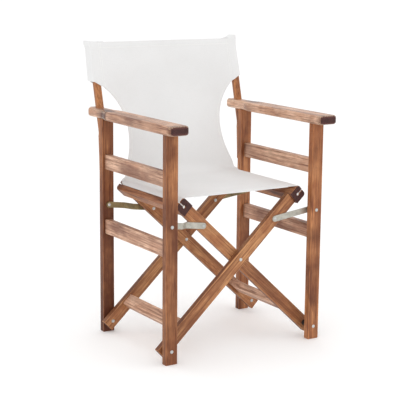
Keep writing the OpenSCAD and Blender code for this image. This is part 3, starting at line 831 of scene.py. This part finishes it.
def link_bar(side, end):
    node = f"{side}_{end}_link"
    low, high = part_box(node)
    pivot, inner = middle(f"{side}_link_bolts"), middle(f"{side}_link_rivets")
    along = Vector((inner.x - pivot.x, 0, inner.z - pivot.z))
    length = along.length
    outward = -1 if end == "front" else 1
    step = (high.y - low.y) - BAR_THICK
    bm = block((length + BAR_WIDTH, BAR_THICK, BAR_WIDTH))
    corners = [e for e in bm.edges if abs(e.verts[0].co.y - e.verts[1].co.y) > BAR_THICK / 2]
    soften(bm, corners, BAR_WIDTH / 2 * 0.999, 9, clamp=False)
    bends = [(JOGGLE_START - 0.5 + JOGGLE * k / 12) * length for k in range(13)]
    cut_across(bm, 0, bends if step > 0.001 else [0.0])
    soften(bm, sharp_edges(bm, 60), 0.0005, 2)
    for v in bm.verts:
        v.co.y -= outward * step * ease((v.co.x / length + 0.5 - JOGGLE_START) / JOGGLE)
    y_out = (low.y if outward < 0 else high.y) - outward * BAR_THICK / 2
    centre = Vector(((pivot.x + inner.x) / 2, y_out, (pivot.z + inner.z) / 2))
    bar = keep_flats(to_object(node + "_steel", bm, turned(centre, along.normalized(), REARWARD),
                               (BAR_ZINC if end == "front" else REAR_ZINC,)))
    return seat_piece(bar, f"{side}_links", "zinc_bar", node)


bars = [link_bar(side, end) for side in SIDES for end in ("front", "rear")]
print("link bars", [len(bar.data.polygons) for bar in bars], "faces")

# %% [markdown]
# ## Bolts and rivets
# The bolts have low round heads. A head is a profile spun about its axis: the crown and a small straight
# rim. The shafts are spun too. All the bolts run from front to rear, so a part needs only its place along
# that line, the way that it points, and its profile.

# %% Bolts
POINT = 1e-5


def spun(bm, axis_point, direction, profile, steps=28):
    """Spins a profile of (radius, distance along the axis) about a line from front to rear."""
    made = [bm.verts.new(axis_point + Vector((radius, direction * distance, 0)))
            for radius, distance in profile]
    edges = [bm.edges.new(pair) for pair in zip(made, made[1:])]
    bmesh.ops.spin(bm, geom=made + edges, cent=axis_point, axis=REARWARD, dvec=(0, 0, 0),
                   angle=math.tau, steps=steps, use_merge=True, use_duplicate=False)


def crown(radius, height):
    """Head profile, from the top of the crown down to the board."""
    shape = [(POINT, height)]
    for k in range(1, 7):
        a = math.pi / 2 * k / 6
        shape.append((radius * math.sin(a) * 0.985 + radius * 0.015,
                      height * 0.28 + height * 0.72 * math.cos(a)))
    return shape + [(radius, 0.0), (POINT, 0.0)]


def rod(radius, length):
    return [(POINT, length), (radius * 0.85, length), (radius, length - 0.0006), (radius, 0.0), (POINT, 0.0)]


def bolts(node, body, *parts, ending="heads"):
    """parts are (place from front to rear, direction, profile), on the line of the bolts' solids."""
    bm = bmesh.new()
    spot = middle(node)
    for y, direction, profile in parts:
        spun(bm, Vector((spot.x, y, spot.z)), direction, profile)
    bmesh.ops.remove_doubles(bm, verts=bm.verts, dist=2e-5)
    bmesh.ops.recalc_face_normals(bm, faces=bm.faces)
    thing = to_object(f"{node[:-1]}_{ending}", bm, Matrix.Identity(4), (BOLT_ZINC,))
    seat_piece(thing, body, "zinc_bolt", node)


HEAD, SHAFT = 0.0052, 0.003
ROUND_HEAD, RIVET_HEAD = crown(HEAD, 0.0026), crown(0.0044, 0.0015)
INTO_NUT = 0.0065
FRONT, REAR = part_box("left_front_leg")[0].y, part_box("left_rear_leg")[1].y
for side in SIDES:
    body = side + "_frame"
    cross = "outer" if side == "left" else "inner"
    past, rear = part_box(f"front_{cross}_leg")[1].y + INTO_NUT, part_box(f"rear_{cross}_leg")[0].y
    bolts(side + "_foot_bolts", body, (FRONT, -1, ROUND_HEAD), (rear, -1, ROUND_HEAD),
          (past, -1, rod(SHAFT, past - FRONT)), (rear, 1, rod(SHAFT, REAR + INTO_NUT - rear)))
    front_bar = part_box(f"{side}_front_link")[0].y + BAR_THICK
    rear_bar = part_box(f"{side}_rear_link")[1].y - BAR_THICK
    bolts(side + "_link_bolts", body, (FRONT, -1, ROUND_HEAD), (front_bar, 1, crown(0.0045, 0.0016)),
          (front_bar, -1, rod(SHAFT, front_bar - FRONT)), (rear_bar, -1, crown(HEAD, 0.0020)),
          (rear_bar, 1, rod(SHAFT, REAR - rear_bar)), (REAR, 1, crown(HEAD, 0.0014)))
    low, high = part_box(side + "_link_rivets")
    bolts(side + "_link_rivets", side + "_links", (low.y + 0.0016, -1, RIVET_HEAD),
          (high.y - 0.0016, 1, RIVET_HEAD))

front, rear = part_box("front_outer_leg")[0].y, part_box("rear_inner_leg")[0].y
bolts("centre_bolts", "cross_a", (front, -1, ROUND_HEAD),
      (front, 1, rod(SHAFT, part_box("front_inner_leg")[1].y + 0.006 - front)), (rear, -1, ROUND_HEAD),
      (rear, 1, rod(SHAFT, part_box("rear_outer_leg")[1].y + 0.006 - rear)))
for name, cross in (("outer", OUTER), ("inner", INNER)):
    front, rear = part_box(f"front_{name}_leg"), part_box(f"rear_{name}_leg")
    bolts(name + "_link_bolts", CROSS_BODY[cross], (front[1].y, 1, ROUND_HEAD), (rear[0].y, -1, ROUND_HEAD),
          (rear[1].y - 0.0005, 1, crown(0.0034, 0.0009)),
          (front[0].y + 0.0005, -1, crown(0.0034, 0.0007)), ending="ends")
print("heads are", HEAD * 2000, "mm across")

# %% [markdown]
# ## Parts that keep their solids
# Nuts, washers, spacers, screws, dowels, hem rods and hems already have the right shape, so they keep
# their solids and only get a finish.

# %% Finishes on solids
KEPT = {"centre_nuts": BOLT_ZINC, "centre_washers": BOLT_ZINC, "outer_dowels": DOWEL, "inner_dowels": DOWEL}
for side in SIDES:
    KEPT.update({f"{side}_foot_nuts": BOLT_ZINC, f"{side}_foot_spacers": BLACK, f"{side}_link_spacers": BLACK,
                 f"{side}_post_screws": BOLT_ZINC, f"{side}_frame_dowels": DOWEL, f"{side}_arm_dowels": DOWEL,
                 f"{side}_hem_rod": WHITE_ROD, f"{side}_hem": HEM_CANVAS})
for node, finish in KEPT.items():
    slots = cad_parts[node].material_slots
    for place in slots:
        place.material = finish
    if not slots:
        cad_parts[node].data.materials.append(finish)
print(len(KEPT), "solids got a finish")

# %% [markdown]
# ## The canvas
# The sling is one sewn sheet: it goes into both rails' slots, lies flat between them, turns up at the
# rear, narrows, and widens again to the two sleeves. It is made of a seat, a back and two sleeves so
# that each can move with its own frame. A grid gives each sheet its vertices, and one function says
# where a point of the cloth lies. Distances along the cloth become the UV map, so the weave never
# stretches.

# %% Cloth helpers
CLOTH = 0.0015
SEAT_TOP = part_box("seat_canvas")[0].z + 0.0016
RAIL = middle("right_hem_rod")
RAIL_HALF, RAIL_ROUND = 0.020, 0.009
CORNER = RAIL_HALF - RAIL_ROUND
WRAP_ROUND = RAIL_ROUND + 0.0004 + CLOTH / 2
LIP = 0.0020
UV_MIDDLE = 0.3
UP = up_the_leg(OUTER)
OVER = square_to_leg(OUTER)
CORNER_MID = RAIL + CORNER * (UP + OVER)
FLAT = CORNER_MID.x
ARC = WRAP_ROUND * (math.pi / 2 - SLOPE)
DOWN = CORNER - LIP
TURN_IN = LIP * math.pi / 2
TUCK = 0.006
FULL = FLAT + ARC + DOWN + TURN_IN + TUCK


def over_rail(d):
    """Where cloth at distance d from the seat's middle line lies: across, up, from the flat seat."""
    if d <= FLAT:
        return d, 0.0
    d -= FLAT
    if d <= ARC:
        a = math.pi / 2 - d / WRAP_ROUND
        p = CORNER_MID + WRAP_ROUND * Vector((math.cos(a), 0, math.sin(a)))
    elif d <= ARC + DOWN:
        p = CORNER_MID + WRAP_ROUND * UP - (d - ARC) * OVER
    else:
        d -= ARC + DOWN
        hinge = CORNER_MID + (WRAP_ROUND - LIP) * UP - DOWN * OVER
        a = min(d / LIP, math.pi / 2)
        p = hinge + LIP * (math.cos(a) * UP - math.sin(a) * OVER) - max(0.0, d - TURN_IN) * UP
    return p.x, p.z - CORNER_MID.z - WRAP_ROUND


EDGE_BAND, EVEN_SHARE = 0.031, 0.55


def spread(g, width):
    """Turns an even place -1..1 in the grid into a distance, with many rows near the edges."""
    a, inner = abs(g), width - EDGE_BAND
    d = a / EVEN_SHARE * inner if a < EVEN_SHARE else inner + (a - EVEN_SHARE) / (1 - EVEN_SHARE) * EDGE_BAND
    return math.copysign(d, g)


def cloth_grid(name, across, along, point, uv, finish, thickness=CLOTH):
    """A grid whose vertices are placed by point(g, t) with g in -1..1 and t in 0..1."""
    bm = bmesh.new()
    bmesh.ops.create_grid(bm, x_segments=across, y_segments=along, size=1.0)
    layer = bm.loops.layers.uv.new("cloth")
    for f in bm.faces:
        for loop in f.loops:
            loop[layer].uv = uv(loop.vert.co.x, (loop.vert.co.y + 1) / 2)
    for v in bm.verts:
        v.co = point(v.co.x, (v.co.y + 1) / 2)
    sheet = to_object(name, bm, Matrix.Identity(4), (finish,))
    for e in sheet.data.edges:
        e.use_edge_sharp = False
    shell = sheet.modifiers.new("thickness", "SOLIDIFY")
    shell.thickness, shell.offset, shell.use_even_offset = thickness, 0.0, True
    return sheet


def settle(thing):
    """Makes the modifiers' result the mesh itself."""
    made = bpy.data.meshes.new_from_object(thing.evaluated_get(bpy.context.evaluated_depsgraph_get()))
    thing.modifiers.clear()
    old, thing.data = thing.data, made
    made.name = old.name
    bpy.data.meshes.remove(old)
    bm = bmesh.new()
    bm.from_mesh(made)
    soften_light(bm, CLOTH_CREASE)
    bm.to_mesh(made)
    bm.free()
    return thing


def ripple(x, s):
    """Small unevenness of stretched cloth, in metres."""
    broad = noise.noise(Vector((x * 5.0, s * 5.0, 1.7)))
    narrow = noise.noise(Vector((x * 17.0, s * 9.0, 4.2)))
    return 0.0016 * broad + 0.0006 * narrow


print("half of the seat's cloth is", round(FULL, 4), "m wide")

# %% [markdown]
# ## Seat
# The seat is taut between the rails and dips by a few millimetres. Near the rear it turns up: gently
# in the middle, tightly at the rails, where the cloth is held down until the rail ends.

# %% Seat
SEAT_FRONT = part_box("seat_canvas")[0].y
BACK_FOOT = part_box("back_canvas")[0].z
WAIST, WAIST_Z = 0.331 / 2, 0.616
CUT_OVER, CUT_UNDER = 0.181, 0.241
SLEEVE_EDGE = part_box("back_canvas")[1].x
POST_FRONT_0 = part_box("right_back_post")[0].y
BEFORE_POST = 0.0013
TURN_IN_MIDDLE, TURN_AT_RAIL = 0.045, 0.011
BEND_Z = bend_height("right_back_post")


def back_plane(z):
    """Front-to-rear place of the leaning back at a height."""
    return POST_FRONT_0 + (z - BEND_Z) * LEAN - BEFORE_POST


def half_back(z):
    d = (z - WAIST_Z) / math.cos(LEAN_ANGLE)
    r = CUT_OVER if z > WAIST_Z else CUT_UNDER
    return WAIST + r - math.sqrt(max(0.0, r * r - d * d))


SEAT_MID = SEAT_TOP - CLOTH / 2
PLANE_AT_SEAT = back_plane(SEAT_MID)
TURN_UP = math.pi / 2 - LEAN_ANGLE
LIP_Z = BACK_FOOT + 0.004


def up_path(x_share, t):
    """Along the seat and up the back: the place at share t of the way, and the way gone."""
    radius = TURN_IN_MIDDLE + (TURN_AT_RAIL - TURN_IN_MIDDLE) * ease((x_share - 0.50) / 0.48)
    run = radius * math.tan(TURN_UP / 2)
    level = PLANE_AT_SEAT - run - SEAT_FRONT
    arc = radius * TURN_UP
    rise_done = radius * (1 - math.cos(TURN_UP))
    slope = (LIP_Z - SEAT_MID - rise_done) / math.cos(LEAN_ANGLE)
    s = t * (level + arc + slope)
    if s <= level:
        return SEAT_FRONT + s, 0.0, 0.0, s
    if s <= level + arc:
        a = (s - level) / radius
        return SEAT_FRONT + level + radius * math.sin(a), radius * (1 - math.cos(a)), a, s
    d = s - level - arc
    return (SEAT_FRONT + level + radius * math.sin(TURN_UP) + d * math.cos(TURN_UP),
            rise_done + d * math.sin(TURN_UP), TURN_UP, s)


LET_GO, OFF_RAIL = 0.872, 0.925
LIP_HALF = half_back(LIP_Z)
SEAT_LENGTH = up_path(0.0, 1.0)[3]


def seat_half(t):
    """Half width of the cut cloth: full as far as the rails hold it, then drawn in."""
    narrow = FLAT - 0.002
    if t < OFF_RAIL:
        return FULL + (narrow - FULL) * ease((t - LET_GO) / (OFF_RAIL - LET_GO))
    share = (t - OFF_RAIL) / (1 - OFF_RAIL)
    return narrow + (LIP_HALF - narrow) * share * share * (2 - share)


def slack(d, s, half, rear):
    """Unevenness of the cloth, dying out at the rails and at the free edges."""
    held = max(0.0, min(1.0, 3 * (1 - (d / FLAT) ** 2)))
    free = max(0.0, min(1.0, 4 * (1 - abs(d) / half)))
    return ripple(d, s) * (held + (free - held) * rear)


def seat_point(g, t):
    half = seat_half(t)
    d = spread(g, half)
    x, drop = over_rail(abs(d))
    y, rise, angle, s = up_path(min(1.0, abs(d) / FLAT), t)
    inside = max(0.0, 1 - (abs(d) / FLAT) ** 2)
    dip = -0.0045 * inside * math.sin(math.pi * min(1.0, t / 0.9)) ** 2
    out = slack(d, t * SEAT_LENGTH, half, ease((t - 0.8) / 0.2))
    return Vector((math.copysign(x, g), y - out * math.sin(angle),
                   SEAT_MID + rise + drop + dip + out * math.cos(angle)))


def seat_uv(g, t):
    d = spread(g, seat_half(t))
    return d + UV_MIDDLE, up_path(min(1.0, abs(d) / FLAT), t)[3]


seat = settle(cloth_grid("seat_sling", 84, 72, seat_point, seat_uv, CANVAS))
print("seat sheet", round(2 * FULL, 3), "by", round(SEAT_LENGTH, 3), "m flat")

# %% [markdown]
# ## Back
# The back hangs between the posts in the plane of their fronts. Its sides are cut in by two arcs that
# meet at the waist. It starts where the seat's lip ends.

# %% Back
BACK_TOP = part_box("back_canvas")[1].z
BACK_SLANT = (BACK_TOP - LIP_Z) / math.cos(LEAN_ANGLE)
SLEEVE_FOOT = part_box("right_sleeve")[0].z


HOLLOW = 0.006


def back_half_at(z):
    return min(SLEEVE_EDGE, half_back(z)) if z < SLEEVE_FOOT - 0.003 else SLEEVE_EDGE


def back_at(d, z, off=0.0):
    """Where the back's cloth lies at distance d from its middle line and at height z."""
    t = (z - LIP_Z) / (BACK_TOP - LIP_Z)
    half = back_half_at(z)
    s = SEAT_LENGTH + BACK_SLANT * t
    hold = 1.0 - ease((t - 0.80) / 0.2) * 0.6
    hollow = HOLLOW * math.sin(math.pi * t) ** 2 * (1 - (d / 0.25) ** 2)
    out = slack(d, s, half, 1.0) * hold * (1 + 0.5 * ease(3 * t)) - hollow + off
    return Vector((d, back_plane(z) - out * math.cos(LEAN_ANGLE), z + out * math.sin(LEAN_ANGLE)))


def back_point(g, t):
    z = LIP_Z + (BACK_TOP - LIP_Z) * t
    return back_at(spread(g, back_half_at(z)), z)


def back_uv(g, t):
    z = LIP_Z + (BACK_TOP - LIP_Z) * t
    return spread(g, back_half_at(z)) + UV_MIDDLE, SEAT_LENGTH + BACK_SLANT * t


back = settle(cloth_grid("back_sling", 84, 110, back_point, back_uv, CANVAS))
print("back sheet", round(2 * SLEEVE_EDGE, 3), "by", round(BACK_SLANT, 3), "m flat")

# %% [markdown]
# ## Sleeves
# Each sleeve is the back's own cloth, taken round the post and sewn down behind. It hangs loosely, a
# little wider than the post, and its top end is sewn shut over the post, with its outer corner standing
# up a little. The back's hollow sides are cut on over the sleeves, so their lower edges are slanted.

# %% Sleeves
POST_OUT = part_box("right_back_post")[1].x
SLEEVE_CORNER = 0.0045


def sleeve_line(z):
    """Cross-section of the sleeve at a height, from the back's edge round the post and in again."""
    loose = 1 - (z - SLEEVE_FOOT) / (BACK_TOP - SLEEVE_FOOT)
    ear = ease((z - BACK_TOP + 0.024) / 0.018)
    x_out = POST_OUT + 0.0016 + 0.003 * loose + 0.0045 * ear
    rear = POST_DEPTH + 0.0180 + 0.0070 * loose
    r = SLEEVE_CORNER
    quarter = [(r * math.sin(k * math.pi / 10), r * math.cos(k * math.pi / 10)) for k in range(6)]
    path = [(SLEEVE_EDGE, 0.0)] + [(x_out - r + up, r - over) for up, over in quarter]
    path += [(x_out - r + over, rear - r + up) for up, over in quarter]
    path += [(SLEEVE_EDGE + 0.003, rear - 0.001), (SLEEVE_EDGE - 0.002, rear * 0.55),
             (SLEEVE_EDGE - 0.008, 0.0042), (SLEEVE_EDGE - 0.022, 0.0022)]
    return [Vector((x, y, 0)) for x, y in path]


def along_line(path, share):
    lengths = [(b - a).length for a, b in zip(path, path[1:])]
    left = share * sum(lengths)
    for (a, b), length in zip(zip(path, path[1:]), lengths):
        if left <= length:
            return a.lerp(b, left / length)
        left -= length
    return path[-1]


FOOT_DROP, DROP_SHARE = 0.015, 0.4
EAR_LIFT, EAR_REACH = {"left": 0.0025, "right": 0.0085}, 0.030
SHUT_FROM = 0.94


def sleeve(side):
    """The cloth round one post, with the width and the height that it was cut to."""
    sign = SIDES[side]
    slant = (BACK_TOP - SLEEVE_FOOT) / math.cos(LEAN_ANGLE)

    def point(g, t):
        g = (g + 1) / 2
        z = SLEEVE_FOOT + (BACK_TOP - SLEEVE_FOOT) * min(1.0, t / SHUT_FROM)
        close = max(0.0, (t - SHUT_FROM) / (1 - SHUT_FROM))
        p = along_line(sleeve_line(z), g)
        inner = min(1.0, max(0.0, (POST_OUT - p.x) / (POST_OUT - SLEEVE_EDGE)))
        low_down = inner * max(0.0, 1 - t / DROP_SHARE)
        z -= FOOT_DROP * low_down
        z += EAR_LIFT[side] * ease((z - BACK_TOP + EAR_REACH) / EAR_REACH) * (1 - inner) ** 2
        p.x -= max(0.0, SLEEVE_EDGE - half_back(min(z, SLEEVE_FOOT))) * low_down
        depth = p.y * (1 - close) + 0.5 * POST_DEPTH * close
        puff = 0.0012 * noise.noise(Vector((g * 6, z * 30, sign * 3.0))) * min(1.0, g * 6, (1 - g) * 6)
        lift = 0.0006 * math.sin(close * math.pi / 2)
        return Vector((sign * (p.x + puff * 0.6), back_plane(z) + depth + puff, z + lift))

    line = sleeve_line(0.8)
    width = sum((b - a).length for a, b in zip(line, line[1:]))
    cloth = cloth_grid(side + "_sleeve_cloth", 56, 34, point,
                       lambda g, t: (sign * (SLEEVE_EDGE + (g + 1) / 2 * width) + UV_MIDDLE,
                                     SEAT_LENGTH + BACK_SLANT - slant * (1 - t)), CANVAS)
    return settle(cloth), width, slant


sleeves = {side: sleeve(side) for side in SIDES}
print("sleeve cloth", [round(v, 3) for v in sleeves["left"][1:]], "m")

# %% [markdown]
# ## Hems
# Every raw edge is turned over to the hidden side and sewn down: the back's upper edge and its two
# hollow sides to the rear, the seat's front edge underneath. A turned edge is a strip that follows the
# same surface, a cloth's thickness further out.

# %% Hems
TOP_HEM, SIDE_HEM, FRONT_HEM = 0.020, 0.011, 0.018
FOLD = 0.0011
BEHIND = -(CLOTH + FOLD) / 2 - 0.0001


def strip(name, across, along, point):
    return settle(cloth_grid(name, across, along, point,
                             lambda g, t: (point(g, t).x + UV_MIDDLE, point(g, t).z), CANVAS, FOLD))


def side_edge(sign, inward, t, off):
    """A place that far in from the hollow side, from the seat's lip up to the sleeve."""
    z = LIP_Z + 0.002 + (SLEEVE_FOOT - 0.007 - LIP_Z) * t
    return back_at(sign * (back_half_at(z) - inward), z, off)


def seat_at(d, forward, off):
    """A place on the seat, that far behind its front edge."""
    t = forward / SEAT_LENGTH
    g = math.copysign(min(1.0, abs(d) / (FULL - EDGE_BAND) * EVEN_SHARE), d)
    return seat_point(g, t) + Vector((0, 0, off))


top_hem = strip("back_top_hem", 64, 4,
                lambda g, t: back_at(g * (SLEEVE_EDGE - 0.001), BACK_TOP - TOP_HEM * (1 - t), BEHIND))
side_hems = {side: strip(f"back_{side}_hem", 4, 40, lambda g, t, sign=SIDES[side]:
                         side_edge(sign, SIDE_HEM * (1 - sign * g) / 2, t, BEHIND)) for side in SIDES}
front_hem = strip("seat_front_hem", 48, 4,
                  lambda g, t: seat_at(g * (FLAT - 0.035), FRONT_HEM * t + 0.0002, BEHIND))
print("hems", [len(hem.data.polygons) for hem in (top_hem, front_hem, *side_hems.values())], "faces")

# %% [markdown]
# ## Stitches
# A row of stitches is many short threads, each with its own slight turn. Each is a tiny block with
# eased edges that lies half in the cloth, so a row casts a real shadow line.

# %% Stitches
STITCH = (0.0031, 0.0009, 0.0008)
PITCH, STITCH_FACES = 0.0044, 26
NEARBY, TURNED_BY = 0.004, 0.08


def sew(bm, line, length):
    """Lays stitches along line(share, lift), which gives a place that far above the cloth."""
    count = round(length / PITCH)
    for k in range(count):
        share = (k + 0.5) / count
        spot, above = line(share, 0.0), line(share, 0.001)
        along = (line(min(1.0, share + NEARBY), 0.0) - line(max(0.0, share - NEARBY), 0.0)).normalized()
        up = (above - spot).normalized()
        side = up.cross(along).normalized()
        along = (along + side * dice.uniform(-TURNED_BY, TURNED_BY)).normalized()
        place = Matrix((along, up.cross(along), up)).transposed().to_4x4()
        place.translation = spot
        bmesh.ops.create_cube(bm, size=1.0, matrix=place @ Matrix.Diagonal((*STITCH, 1.0)))


def sewn(name, rows):
    bm = bmesh.new()
    for line, length in rows:
        sew(bm, line, length)
    soften(bm, bm.edges[:], 0.00025, 1)
    return to_object(name, bm, Matrix.Identity(4), (THREAD,))


ON_TOP = CLOTH / 2 + 0.0001
ON_FOLD = BEHIND - FOLD / 2 - 0.0001
SEAM_IN = 0.003
TOP_SEAM, FRONT_SEAM = BACK_TOP - TOP_HEM + SEAM_IN, FRONT_HEM - SEAM_IN
rows = []
for face, flip in ((ON_TOP, 1), (ON_FOLD, -1)):
    rows.append((lambda u, lift, face=face, flip=flip:
                 back_at((2 * u - 1) * (SLEEVE_EDGE - SEAM_IN), TOP_SEAM, face + flip * lift), 2 * SLEEVE_EDGE))
    for sign in SIDES.values():
        rows.append((lambda u, lift, face=face, flip=flip, sign=sign:
                     side_edge(sign, SIDE_HEM - 0.002, u, face + flip * lift), 0.30))
for sign in SIDES.values():
    for inward in (SEAM_IN, 0.009):
        rows.append((lambda u, lift, sign=sign, inward=inward:
                     back_at(sign * (SLEEVE_EDGE - inward),
                             SLEEVE_FOOT + SEAM_IN + (BACK_TOP - SLEEVE_FOOT - 2 * SEAM_IN) * u, ON_TOP + lift),
                     BACK_TOP - SLEEVE_FOOT))
back_thread = sewn("back_stitches", rows)
seat_thread = sewn("seat_stitches", [
    (lambda u, lift: seat_at((2 * u - 1) * (FLAT - 0.002), FRONT_SEAM, ON_TOP + lift), 2 * FLAT),
    (lambda u, lift: seat_at((2 * u - 1) * (FLAT - 0.038), FRONT_SEAM, ON_FOLD - lift), 2 * FLAT - 0.076)])
print("stitches", sum(len(thread.data.polygons) for thread in (back_thread, seat_thread)) // STITCH_FACES)

# %% [markdown]
# ## Who moves with whom
# The seat bends between the two crossed frames and the back rides on the left frame as the chair
# folds. The sleeves stay on their posts.

# %% Riding and sheets
BACK_PIECES = [back, top_hem, *side_hems.values(), back_thread]
SEAT_PIECES = [seat, front_hem, seat_thread]
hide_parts("seat_canvas")
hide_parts("back_canvas")
for cloth in SEAT_PIECES:
    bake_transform(cloth, "cross_b", "cross_a", start=(-0.17, 0, 0), end=(0.17, 0, 0))
for cloth in BACK_PIECES:
    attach(cloth, "left_frame")
    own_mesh(cloth)
for side, (cloth, width, slant) in sleeves.items():
    seat_piece(cloth, side + "_frame", "canvas", side + "_sleeve")
    slant + 0.010
    side + "_back_post"
2 * FULL
SEAT_LENGTH + FRONT_HEM
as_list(SEAT_PIECES[1:])
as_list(BACK_PIECES[1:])
print("canvas placed")
